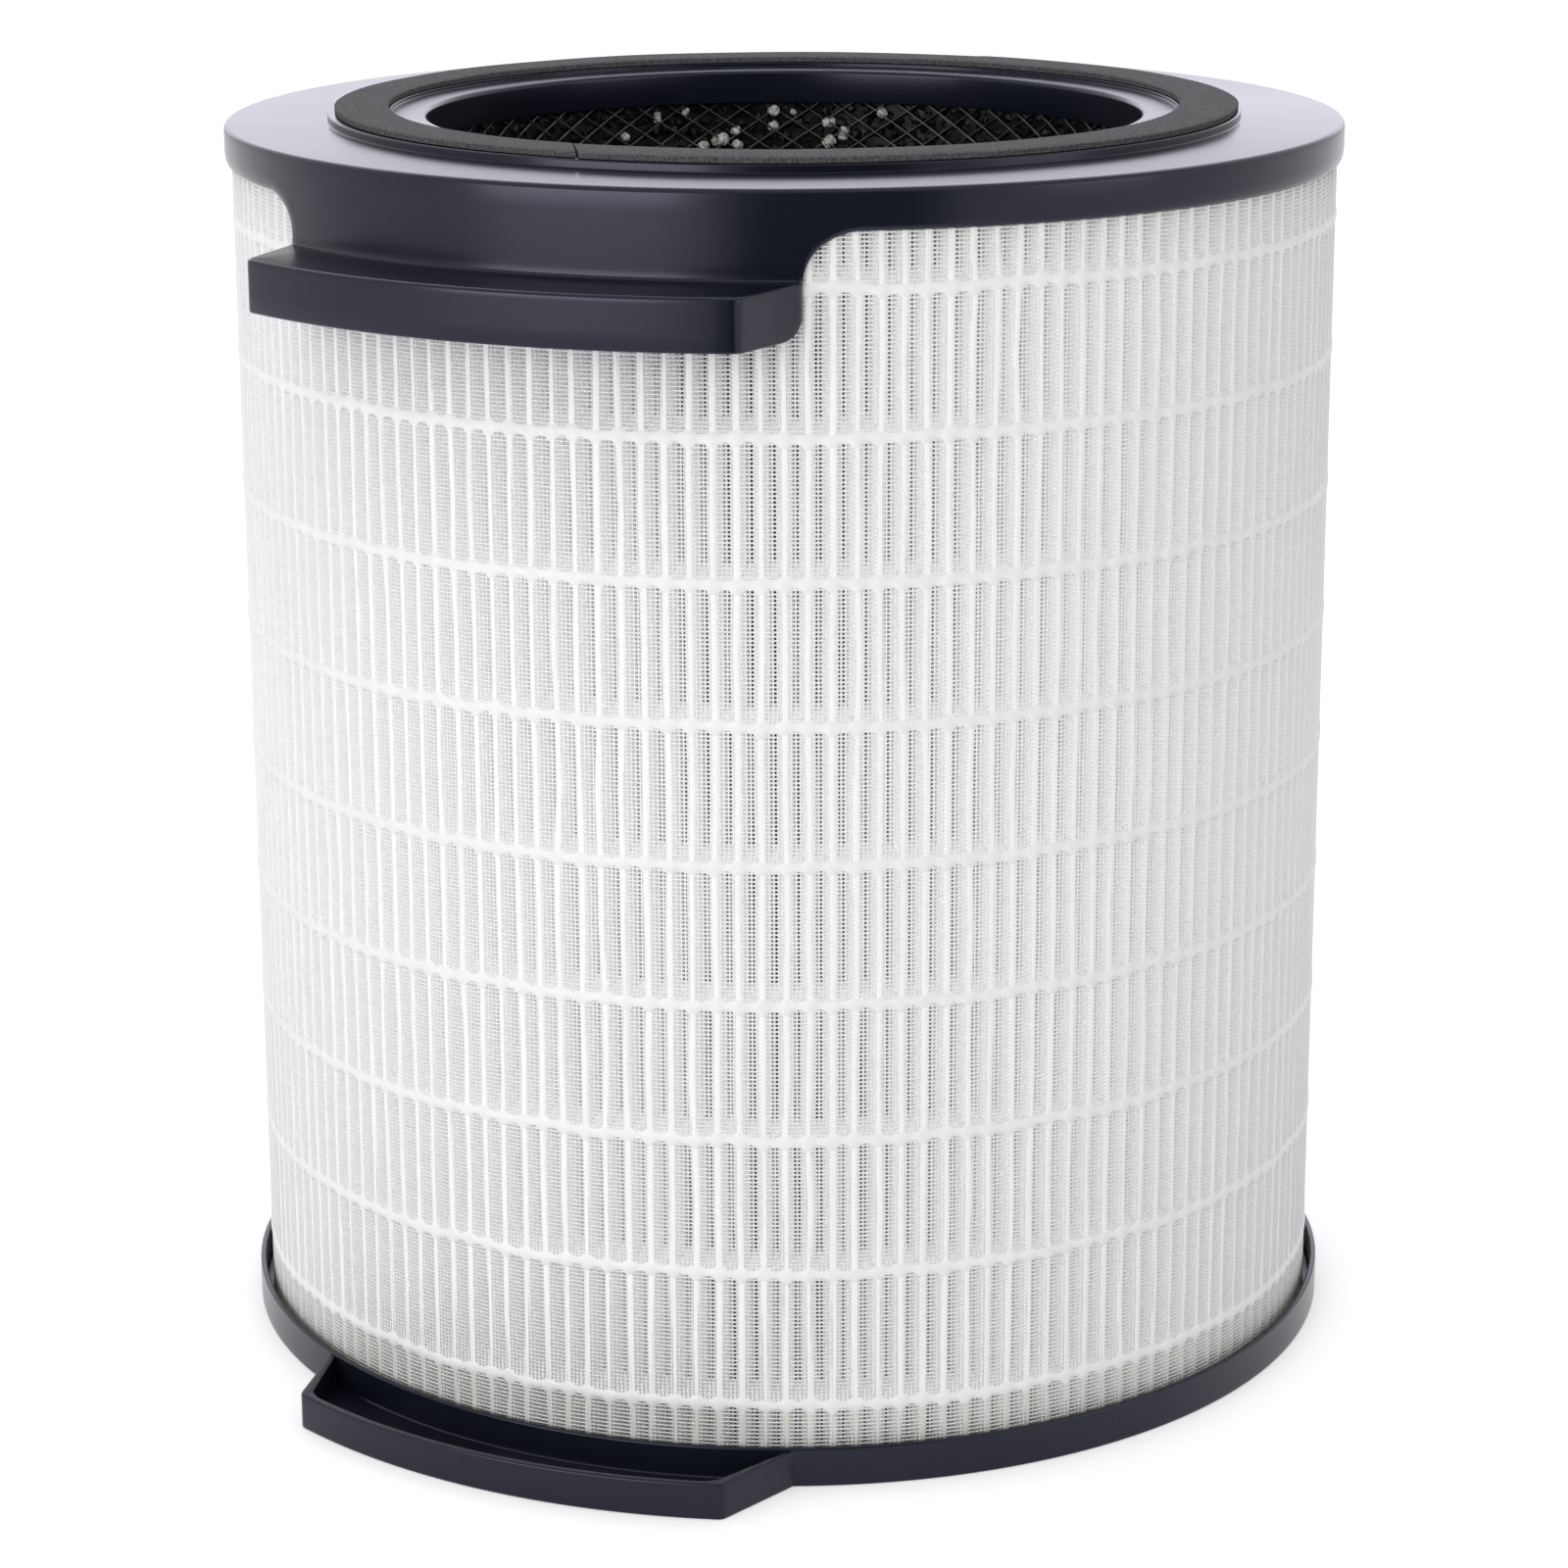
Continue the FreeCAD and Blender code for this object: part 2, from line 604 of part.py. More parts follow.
def main():
    fill_sheet()
    parts = [top_cap(), bottom_cap()]
    parts.append(seal_half("seal_left", -1, SEAL_OUTER))
    parts.append(seal_half("seal_right", 1, f"({SEAL_OUTER} + seal_step)"))
    parts.append(pleated_media())
    parts += [glue_line(number) for number in range(int(value("glue_count")))]
    parts += [outer_net(), core_net(), carbon_bed(), bed_screen()]
    DOC.recompute()
    check_objects(parts)
    os.makedirs("parts", exist_ok=True)
    for part in parts:
        part.Shape.exportStep(f"parts/{part.Label}.step")


main()
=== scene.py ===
import math

import bmesh
import bpy
import numpy as np
from mathutils import Matrix, Vector, kdtree


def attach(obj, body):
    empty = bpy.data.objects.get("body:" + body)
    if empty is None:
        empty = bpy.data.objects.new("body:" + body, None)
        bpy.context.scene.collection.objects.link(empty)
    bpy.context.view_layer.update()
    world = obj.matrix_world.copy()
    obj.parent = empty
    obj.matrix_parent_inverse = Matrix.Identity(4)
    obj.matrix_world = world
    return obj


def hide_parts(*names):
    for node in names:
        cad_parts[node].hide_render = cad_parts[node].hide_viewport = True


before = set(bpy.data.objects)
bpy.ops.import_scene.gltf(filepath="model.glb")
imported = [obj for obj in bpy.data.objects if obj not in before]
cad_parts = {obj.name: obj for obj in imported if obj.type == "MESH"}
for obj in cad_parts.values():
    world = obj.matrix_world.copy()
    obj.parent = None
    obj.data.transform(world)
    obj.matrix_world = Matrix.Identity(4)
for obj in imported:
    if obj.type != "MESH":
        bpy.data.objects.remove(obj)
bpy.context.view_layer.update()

# Sizes in millimetres, as in the CAD source. The axis is Z and the handles face -Y.
# A name's last word tells what it is: R, IN and OUT are radii, Z, TOP and BOTTOM heights, X half widths.

# Top cap
RIM_R = 135.0
SKIRT_IN = 133.8
SKIRT_Z = 290.0
FACE_Z = 299.2
PLATE_UNDER_Z = 297.2
LEDGE_Z = 300.2
LAND_IN = 95.2
LAND_OUT = 110.2
LAND_Z = 301.2
BORE_R = 86.5
COLLAR_OUT = 87.9
COLLAR_Z = 291.8
APRON_X = 64.8
CONCAVE_R = 11.5
HANDLE_R = 155.0
LIP_X = 61.6
LIP_TOP = 279.2
LIP_BOTTOM = 267.2
LIP_WALL = 2.0

# Bottom cap
BASE_R = 136.6
BASE_IN = 135.1
BASE_TOP = 9.6
FLOOR_Z = 2.0
TAB_X = 56.8
TAB_ROOT_X = 63.1
TAB_TOP = 8.9
TAB_WALL = 1.8

# Foam seal
SEAL_IN = 95.6
SEAL_OUT = 108.6
SEAL_THICK = 1.8

# Folded sheet and the glue lines round it
PLEATS = 160
PLEAT_TURN = 2 * math.pi / PLEATS
TIP_R = 133.42
VALLEY_R = 104.6
VALLEY_DEPTH = TIP_R - VALLEY_R
PACK_BOTTOM = 2.05
PACK_TOP = 297.15
PACK_HEIGHT = PACK_TOP - PACK_BOTTOM
GLUE_Z = [18.8 + 32.3 * number for number in range(9)]

# White net
NET_R = 133.32
NET_BOTTOM = 7.6
NET_TOP = 291.0
NET_THICK = 0.11
NET_PITCH = 0.95
NET_THREAD = 0.48
NET_UPRIGHTS = 840

# Black netting in the core, and the granules behind it
CORE_R = 88.35
CORE_STRAND = 0.66
BED_R = 89.9
BED_DEPTH = 13.0
STONES_R = 90.4
STONE_SIZE = 1.75
PELLETS_R = 89.1

# Seeds of the random draws
SEAL_SEED = 40
PLEAT_SEED = 26
BEAD_SEED = 100
BED_SEED = 7
STONE_SEED = 11
PELLET_SEED = 5

# The points on a quarter round, as (1 - cosine, 1 - sine) of their angles
QUARTER = [(1 - math.cos(phi), 1 - math.sin(phi)) for phi in map(math.radians, range(0, 91, 18))]


# Materials
def material(name, colour, roughness, level=0.5):
    """A Principled material with its node tree and its shader. level is the specular level."""
    made = bpy.data.materials.new(name)
    made.use_nodes = True
    tree = made.node_tree
    shader = tree.nodes["Principled BSDF"]
    shader.inputs["Base Color"].default_value = (*colour, 1)
    shader.inputs["Roughness"].default_value = roughness
    shader.inputs["Specular IOR Level"].default_value = level
    return made, tree, shader


def add(tree, kind, **values):
    """A shader node with its properties and inputs set by name. An output given as a value is linked."""
    node = tree.nodes.new("ShaderNode" + kind)
    for key, value in values.items():
        if hasattr(node, key):
            setattr(node, key, value)
        elif isinstance(value, bpy.types.NodeSocket):
            tree.links.new(value, node.inputs[key])
        else:
            node.inputs[key.replace("_", " ")].default_value = value
    return node


def noise(tree, scale, detail, stretch=(1, 1, 1)):
    """Object-space noise, stretched along the axes."""
    place = add(tree, "TexCoord").outputs["Object"]
    mapping = add(tree, "Mapping", Vector=place, Scale=stretch).outputs["Vector"]
    return add(tree, "TexNoise", Vector=mapping, Scale=scale, Detail=detail).outputs["Fac"]


def ramp(tree, source, stops):
    """Colours along a value. stops is a list of (position, colour)."""
    node = add(tree, "ValToRGB", Fac=source)
    elements = node.color_ramp.elements
    elements.remove(elements[1])
    elements[0].position = stops[0][0]
    elements[0].color = (*stops[0][1], 1)
    for position, colour in stops[1:]:
        elements.new(position).color = (*colour, 1)
    return node.outputs["Color"]


def map_range(tree, source, **limits):
    """A value brought from one range to another."""
    return add(tree, "MapRange", Value=source, **limits).outputs["Result"]


def multiply(tree, first, second):
    """Two colours multiplied."""
    return add(tree, "MixRGB", blend_type="MULTIPLY", Fac=1.0, Color1=first, Color2=second).outputs["Color"]


def dress(tree, shader, colour, relief, strength, distance):
    """The shader's colour and its bump, whose distance is in metres."""
    tree.links.new(colour, shader.inputs["Base Color"])
    bump = add(tree, "Bump", Strength=strength, Distance=distance, Height=relief)
    tree.links.new(bump.outputs["Normal"], shader.inputs["Normal"])


def seen_by_rays(tree):
    """1 for camera, glossy and transmission rays, and 0 for the rest."""
    light_path = add(tree, "LightPath")
    total = light_path.outputs["Is Camera Ray"]
    for kind in ("Is Glossy Ray", "Is Transmission Ray"):
        either = add(tree, "Math", operation="ADD", use_clamp=True)
        tree.links.new(total, either.inputs[0])
        tree.links.new(light_path.outputs[kind], either.inputs[1])
        total = either.outputs[0]
    return total


def cap_material():
    """Navy-black plastic, a little uneven in tone and shine."""
    made, tree, shader = material("cap_plastic_navy", (0.007, 0.008, 0.015), roughness=0.3, level=0.34)
    shader.inputs["Specular Tint"].default_value = (0.8, 0.79, 1.0, 1)
    tones = ramp(tree, noise(tree, scale=9, detail=4), [
        (0.3, (0.006, 0.0075, 0.0135)), (0.7, (0.009, 0.0105, 0.018))])
    shine = map_range(tree, noise(tree, scale=14, detail=1), To_Min=0.2, To_Max=0.26)
    tree.links.new(shine, shader.inputs["Roughness"])
    dress(tree, shader, tones, noise(tree, scale=1500, detail=2), strength=0.12, distance=0.00005)
    return made


def foam_material():
    """Dark grey foam with fine cells."""
    made, tree, shader = material("seal_foam_grain", (0.03, 0.03, 0.032), roughness=0.9, level=0.25)
    cells = noise(tree, scale=2200, detail=3)
    tones = ramp(tree, cells, [
        (0.35, (0.045, 0.045, 0.046)), (0.52, (0.095, 0.093, 0.097)), (0.7, (0.16, 0.158, 0.165))])
    dress(tree, shader, tones, cells, strength=0.8, distance=0.0004)
    return made


def sheet_material():
    """Folded filter sheet: white, warmer and greyer at its ends, and darkened deep in the folds by painted
    shade.
    """
    made, tree, shader = material("filter_sheet_white", (0.93, 0.93, 0.94), roughness=0.8, level=0.2)
    place = add(tree, "TexCoord").outputs["Object"]
    split = add(tree, "SeparateXYZ", Vector=place)
    flat = add(tree, "VectorMath", operation="MULTIPLY", Vector=place)
    flat.inputs[1].default_value = (1, 1, 0)
    reach = add(tree, "VectorMath", operation="LENGTH", Vector=flat.outputs["Vector"])
    outward = map_range(tree, reach.outputs["Value"], From_Min=VALLEY_R / 1000, From_Max=TIP_R / 1000)
    # Painted shade: the sheet's colour darkens towards the bottom of each fold, where shade falls.
    folds = ramp(tree, outward, [
        (0.0, (0.03, 0.03, 0.035)), (0.2, (0.08, 0.08, 0.085)), (0.4, (0.6, 0.6, 0.61)), (0.55, (1, 1, 1))])
    height = map_range(tree, split.outputs["Z"], From_Min=0.0, From_Max=0.3)
    ends = ramp(tree, height, [
        (0.0, (0.68, 0.67, 0.62)), (0.055, (0.72, 0.71, 0.66)), (0.07, (0.95, 0.95, 0.96)),
        (0.93, (0.95, 0.95, 0.96)), (0.95, (0.88, 0.87, 0.83))])
    fibre = noise(tree, scale=500, detail=4, stretch=(1, 1, 0.25))
    tones = ramp(tree, fibre, [(0.3, (0.97, 0.97, 0.97)), (0.7, (1, 1, 1))])
    colour = multiply(tree, multiply(tree, ends, tones), folds)
    dress(tree, shader, colour, fibre, strength=0.3, distance=0.0002)
    return made


def two_tone(name, low, high, scale, roughness, level, depth):
    """A colour that wanders between two tones, with a bump from the same noise."""
    made, tree, shader = material(name, low, roughness, level)
    grain = noise(tree, scale, detail=3)
    dress(tree, shader, ramp(tree, grain, [(0.35, low), (0.65, high)]), grain, strength=0.4, distance=depth)
    return made


CAP = cap_material()
FOAM = foam_material()
SHEET = sheet_material()
GLUE = two_tone("hot_melt_white", (0.85, 0.85, 0.86), (0.89, 0.89, 0.9),
                scale=300, roughness=0.5, level=0.3, depth=0.0001)
NET = two_tone("net_white", (0.88, 0.88, 0.89), (0.93, 0.93, 0.94),
               scale=900, roughness=0.6, level=0.3, depth=0.00003)
BLACK_NET = two_tone("netting_black", (0.025, 0.025, 0.027), (0.09, 0.09, 0.093),
                     scale=250, roughness=0.25, level=0.7, depth=0.0002)
GRANULE = two_tone("granules_black", (0.0015, 0.0015, 0.002), (0.007, 0.007, 0.008),
                   scale=600, roughness=0.45, level=0.3, depth=0.0004)
PELLET = two_tone("pellets_pale", (0.3, 0.28, 0.25), (0.9, 0.88, 0.84),
                  scale=1100, roughness=0.6, level=0.3, depth=0.0005)
SLEEVE = two_tone("sleeve_white", (0.7, 0.7, 0.7), (0.8, 0.8, 0.8),
                  scale=800, roughness=0.8, level=0.2, depth=0.0001)


# Points and meshes
def polar_point(radius, angle, z):
    """A point in metres. Angle 0 is the -Y side and grows towards +X."""
    return (radius * math.sin(angle) / 1000, -radius * math.cos(angle) / 1000, z / 1000)


def polar_grid(radius, angle, z):
    """Points in millimetres, from numbers or arrays."""
    radius, angle, z = np.broadcast_arrays(radius, angle, z)
    return np.stack([radius * np.sin(angle), -radius * np.cos(angle), z], -1)


def put_in_scene(name, data):
    """An object with this data, linked to the scene."""
    thing = bpy.data.objects.new(name, data)
    bpy.context.scene.collection.objects.link(thing)
    return thing


def finish_piece(mesh, name, surface, node, sharp=0.0):
    """The mesh as a piece that rides on the root and may stand for a CAD node.
    It is shaded smooth up to the sharp angle in degrees, and flat without one."""
    mesh.materials.append(surface)
    if sharp:
        mesh.shade_smooth()
        mesh.set_sharp_from_angle(angle=math.radians(sharp))
    piece = put_in_scene(name, mesh)
    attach(piece, "root")
    if node:
        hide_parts(node)
    return piece


def fast_mesh(name, points, faces):
    """A mesh from points in metres and faces that all have the same number of corners."""
    mesh = bpy.data.meshes.new(name)
    points, faces = np.asarray(points, float), np.asarray(faces, int)
    mesh.vertices.add(len(points))
    mesh.vertices.foreach_set("co", points.ravel())
    mesh.loops.add(faces.size)
    mesh.loops.foreach_set("vertex_index", faces.ravel())
    mesh.polygons.add(len(faces))
    mesh.polygons.foreach_set("loop_start", np.arange(0, faces.size, faces.shape[1]))
    mesh.update(calc_edges=True)
    return mesh


def write_shape(shape, mesh):
    """The mesh with the shape's faces, all turned outwards."""
    bmesh.ops.recalc_face_normals(shape, faces=shape.faces)
    shape.to_mesh(mesh)
    shape.free()
    return mesh


def clean_mesh(name, points, faces, weld=0.000004):
    """A mesh from lists, with points that lie within weld metres of each other joined."""
    mesh = bpy.data.meshes.new(name)
    shape = bmesh.new()
    corners = [shape.verts.new(point) for point in points]
    for face in faces:
        shape.faces.new([corners[index] for index in face])
    bmesh.ops.remove_doubles(shape, verts=shape.verts, dist=weld)
    bmesh.ops.dissolve_degenerate(shape, edges=shape.edges, dist=weld / 2)
    loose = [edge for edge in shape.edges if not edge.link_faces]
    bmesh.ops.delete(shape, geom=loose, context="EDGES")
    return write_shape(shape, mesh)


def close_ends(mesh):
    """Three-cornered faces over the open ends of bars."""
    shape = bmesh.new()
    shape.from_mesh(mesh)
    bmesh.ops.holes_fill(shape, edges=shape.edges, sides=3)
    return write_shape(shape, mesh)


def tube_faces(rings, count, start=0):
    """The faces of a closed tube over rings of points that follow each other."""
    faces = []
    last = start + (rings - 1) * count
    for here in range(start, last, count):
        after = here + count
        for index in range(count):
            beyond = (index + 1) % count
            faces.append((here + index, here + beyond, after + beyond, after + index))
    return faces + [tuple(range(start, start + count)), tuple(range(last, last + count))]


def arc_points(centre, first, last, steps):
    """Points on the arc round a centre, from the end of one spoke to the end of the other."""
    turn = first.angle_signed(last)
    points = []
    for step in range(steps + 1):
        spoke = first.copy()
        spoke.rotate(Matrix.Rotation(-turn * step / steps, 2))
        points.append(centre + spoke)
    return points


def rounded(corners, steps):
    """An open line of (r, z, radius) corners with each corner turned into an arc."""
    points = []
    for number, (r, z, radius) in enumerate(corners):
        if radius == 0 or number in (0, len(corners) - 1):
            points.append((r, z))
            continue
        here = Vector((r, z))
        before = (Vector(corners[number - 1][:2]) - here).normalized()
        after = (Vector(corners[number + 1][:2]) - here).normalized()
        half = before.angle(after) / 2
        reach = radius / math.tan(half)
        centre = here + (before + after).normalized() * (radius / math.sin(half))
        first, last = here + before * reach - centre, here + after * reach - centre
        points += [tuple(point) for point in arc_points(centre, first, last, steps)]
    return points


class Skin:
    """Columns of points round the axis, joined part by part into one closed skin."""

    def __init__(self):
        self.points = []
        self.faces = []

    def column(self, angle, parts):
        """The indices of one column's parts. Each part is a list of (r, z), which may be empty."""
        made = []
        for part in parts:
            first = len(self.points)
            self.points += [polar_point(r, angle, z) for r, z in part]
            made.append(list(range(first, len(self.points))))
        return made

    def join(self, left, right):
        """Quads round two columns. A part that one of them lacks is left out."""
        before, after = [], []
        for one, other in zip(left, right):
            if one and other:
                before += one
                after += other
        count = len(before)
        for index in range(count):
            beyond = (index + 1) % count
            self.faces.append((before[index], before[beyond], after[beyond], after[index]))


# The plan of the handles, seen from above in millimetres
def on_circle(radius, x):
    """The point of a circle round the axis that lies at x on the -Y side."""
    return (x, -math.sqrt(radius ** 2 - x ** 2))


def line_radius(angle, start, end):
    """Where the ray at an angle crosses the line from start to end, as a radius."""
    (x0, y0), (x1, y1) = start, end
    ray_x, ray_y = math.sin(angle), -math.cos(angle)
    run_x, run_y = x1 - x0, y1 - y0
    return (x0 * run_y - y0 * run_x) / (ray_x * run_y - ray_y * run_x)


def corner_arc(root, front, radius, steps):
    """The rounded corner between a handle's straight cheek and its front arc.
    The cheek runs from the root towards the front point."""
    along = (front - root).normalized()
    inward = Vector((along.y, -along.x))
    if inward.x > 0:
        inward = -inward
    base = root + inward * radius
    reach = HANDLE_R - radius
    along_base = base.dot(along)
    travel = -along_base + math.sqrt(along_base ** 2 - base.length_squared + reach ** 2)
    centre = base + along * travel
    return arc_points(centre, -inward * radius, centre.normalized() * radius, steps)


def plan_columns(root_r, root_x, front_x, radius, cheek_count=14, corner_steps=7, front_degrees=1.2):
    """(angle, outer radius) for the right half of a handle, from its root to its middle."""
    root = Vector(on_circle(root_r, root_x))
    arc = corner_arc(root, Vector(on_circle(HANDLE_R, front_x)), radius, corner_steps)
    points = [root.lerp(arc[0], step / cheek_count) for step in range(cheek_count)] + arc
    columns = [(math.atan2(point.x, -point.y), point.length) for point in points]
    last = columns[-1][0]
    count = max(2, round(math.degrees(last) / front_degrees))
    columns += [(last * (1 - step / count), HANDLE_R) for step in range(1, count + 1)]
    return columns


def hollow_radius(angle, wall, front_x, root_r, root_x, least):
    """How far a handle's hollow reaches out inside its walls."""
    front = on_circle(HANDLE_R - wall, front_x - 1.5 * wall)
    root = on_circle(root_r, root_x - wall)
    return max(least, min(HANDLE_R - wall, line_radius(abs(angle), front, root)))


def both_halves(half):
    """The columns of a whole handle from those of its right half, from left to right."""
    return [(-angle, radius) for angle, radius in half] + half[:-1][::-1]


# Top cap
ARC_CENTRE_X = APRON_X + CONCAVE_R
ARC_CENTRE_Z = SKIRT_Z - CONCAVE_R
# The skirt's outside is drawn in rows from here down to its lower edge, and draws in near that edge.
ROW_TOP_Z = 294.0
SKIRT_ROWS = 12
TUCK_IN = 1.0
TUCK_HEIGHT = 3.2
TUCK_FADE = 7.0
# The skirt's edge is level beyond this angle from the middle of the apron.
LEVEL_FROM = math.radians(59)
# Radii of the lip's rounded edges, which shrink where the lip is narrow
LIP_CORNER_R = 3.2
LIP_FILLET = 1.1
LIP_EDGE = 0.9
EDGE_SHARE = 0.42
LIP_FOOT = 0.5
CHEEK_ROUND = 8.0
CHEEK_REAR_Y = on_circle(SKIRT_IN, APRON_X)[1]


def skirt_edge_line():
    """The skirt's lower edge beside the apron, as (length round the rim, z)."""
    line = [(RIM_R * math.radians(degrees), SKIRT_Z) for degrees in range(60, 35, -5)]
    for step in range(37):
        phi = math.radians(90 - 2.5 * step)
        x = ARC_CENTRE_X - CONCAVE_R * math.cos(phi)
        line.append((RIM_R * math.asin(x / RIM_R), ARC_CENTRE_Z + CONCAVE_R * math.sin(phi)))
    return np.array(line)


EDGE_LINE = skirt_edge_line()


def skirt_radius(angle, z):
    """The skirt's outer radius, which draws in towards its lower edge."""
    here = np.array([RIM_R * abs(angle), z])
    start, end = EDGE_LINE[:-1], EDGE_LINE[1:]
    run = end - start
    share = np.clip(((here - start) * run).sum(1) / (run ** 2).sum(1), 0, 1)
    distance = np.linalg.norm(start + run * share[:, None] - here, axis=1).min()
    if abs(angle) > LEVEL_FROM:
        distance = z - SKIRT_Z
    near = max(0.0, 1 - distance / TUCK_HEIGHT)
    fade = min(1.0, max(0.0, (z - LIP_TOP) / TUCK_FADE))
    return RIM_R - TUCK_IN * (1 - math.sqrt(max(0.0, 1 - near ** 2))) * fade


def skirt_rows(angle, low):
    """The skirt's outside from its first row down to a height, as (r, z)."""
    heights = [ROW_TOP_Z + (low - ROW_TOP_Z) * step / SKIRT_ROWS for step in range(1, SKIRT_ROWS + 1)]
    return [(skirt_radius(angle, z), z) for z in heights]


def skirt_edge(angle):
    """The height of the skirt's lower edge outside the apron."""
    x = RIM_R * math.sin(min(abs(angle), math.pi / 2))
    if x >= ARC_CENTRE_X:
        return SKIRT_Z
    return ARC_CENTRE_Z + math.sqrt(max(0.0, CONCAVE_R ** 2 - (ARC_CENTRE_X - x) ** 2))


def lip_underside(radius, angle):
    """The height of the lip's lower edge, which rounds up at the cheeks' rear."""
    offset = -radius * math.cos(angle) - (CHEEK_REAR_Y - CHEEK_ROUND)
    if offset <= 0:
        return LIP_BOTTOM
    offset = min(offset, CHEEK_ROUND)
    return LIP_BOTTOM + CHEEK_ROUND - math.sqrt(CHEEK_ROUND ** 2 - offset ** 2)


def lip_outside(angle, outer, fillet, edge):
    """The lip's fillet under the apron, its top, its rounded edge and its front wall."""
    line = [(RIM_R + fillet * across, LIP_TOP + fillet * along) for across, along in QUARTER[1:]]
    line += [(outer - edge * along, LIP_TOP - edge * across) for across, along in QUARTER]
    line += [(outer, LIP_TOP - 0.5 * (LIP_EDGE + edge)), (outer, ARC_CENTRE_Z - edge)]
    foot = lip_underside(outer, angle)
    line += [(outer, foot + 0.35 * (LIP_TOP - foot)), (outer, foot + 0.6), (outer - 0.16, foot + 0.2)]
    return line


def lip_inside(angle, outer):
    """The lip's lower edge, the hollow's wall and its ceiling."""
    inner = hollow_radius(angle, LIP_WALL, LIP_X, RIM_R, APRON_X, SKIRT_IN)
    span = outer - LIP_FOOT - inner
    radii = [outer - LIP_FOOT - span * step / 6 for step in range(7)]
    line = [(radius, lip_underside(radius, angle)) for radius in radii]
    floor, ceiling = lip_underside(inner, angle), LIP_TOP - LIP_WALL
    line += [(inner, floor + (ceiling - floor) * share) for share in (0.3, 0.7, 1.0)]
    line += [(inner + (SKIRT_IN - inner) * 0.5, ceiling), (SKIRT_IN, ceiling), (SKIRT_IN, ARC_CENTRE_Z)]
    return line


def top_plate_line():
    """The section from the skirt's inside under the plate, through the bore, over the land to the rim."""
    return rounded([
        (SKIRT_IN, ROW_TOP_Z, 0), (SKIRT_IN, PLATE_UNDER_Z, 0), (COLLAR_OUT, PLATE_UNDER_Z, 0),
        (COLLAR_OUT, COLLAR_Z, 0.3), (BORE_R, COLLAR_Z, 0.3), (BORE_R, LEDGE_Z, 1.2),
        (LAND_IN, LEDGE_Z, 0.25), (LAND_IN, LAND_Z, 0.25), (LAND_OUT, LAND_Z, 0.4),
        (LAND_OUT, FACE_Z, 0.35), (RIM_R, FACE_Z, 1.3), (RIM_R, ROW_TOP_Z, 0)], 6)


def top_cap_mesh():
    """The top cap: columns through the finger lip at the front, and plain ones round the rest."""
    plate = top_plate_line()
    skin = Skin()

    def plain_column(angle):
        low = skirt_edge(angle)
        edge = [(skirt_radius(angle, z), z) for z in (low + 0.25, low)] + [(SKIRT_IN, low)]
        return skin.column(angle, [plate, skirt_rows(angle, low + 0.7), edge])

    def lip_column(angle, outer):
        room = outer - RIM_R
        fillet, edge = min(LIP_FILLET, EDGE_SHARE * room), min(LIP_EDGE, EDGE_SHARE * room)
        section = lip_outside(angle, outer, fillet, edge) + lip_inside(angle, outer)
        return skin.column(angle, [plate, skirt_rows(angle, LIP_TOP + fillet), section])

    half = plan_columns(RIM_R, APRON_X, LIP_X, LIP_CORNER_R)
    half[0] = (math.asin(APRON_X / RIM_R), RIM_R)
    lips = [lip_column(angle, radius) for angle, radius in both_halves(half)]
    for left, right in zip(lips, lips[1:]):
        skin.join(left, right)

    bends = [math.asin((ARC_CENTRE_X - CONCAVE_R * math.cos(math.radians(degrees))) / RIM_R)
             for degrees in range(0, 91, 5)]
    count = 118
    rest = [bends[-1] + (math.pi - bends[-1]) * step / count for step in range(1, count + 1)]
    angles = bends + rest + [2 * math.pi - angle for angle in reversed(bends + rest[:-1])]
    rings = [plain_column(angle if angle <= math.pi else angle - 2 * math.pi) for angle in angles]
    for left, right in zip(rings, rings[1:]):
        skin.join(left, right)
    # The upright end faces, where the apron's corner ends on the lip's root
    for lip_side, ring_side in ((lips[-1], rings[0]), (lips[0], rings[-1])):
        skin.faces.append(tuple(lip_side[2] + ring_side[2][::-1]))
    return clean_mesh("cap_top", skin.points, skin.faces, weld=0.00002)


# Bottom cap, with the radii of its rounded edges
TAB_CORNER_R = 2.5
UNDER_ROUND = 0.7
TAB_EDGE = 0.55
TRAY_EDGE = 0.3


def pan_line():
    """The section from the rim's outside into the pan, over the floor and back under it."""
    return rounded([
        (BASE_R, TAB_TOP + 0.15, 0), (BASE_R, BASE_TOP, 0.45), (BASE_IN, BASE_TOP, 0.45),
        (BASE_IN, FLOOR_Z, 0.4), (60.0, FLOOR_Z, 0), (0.0, FLOOR_Z, 0), (0.0, 0.0, 0), (130.0, 0.0, 0)], 5)


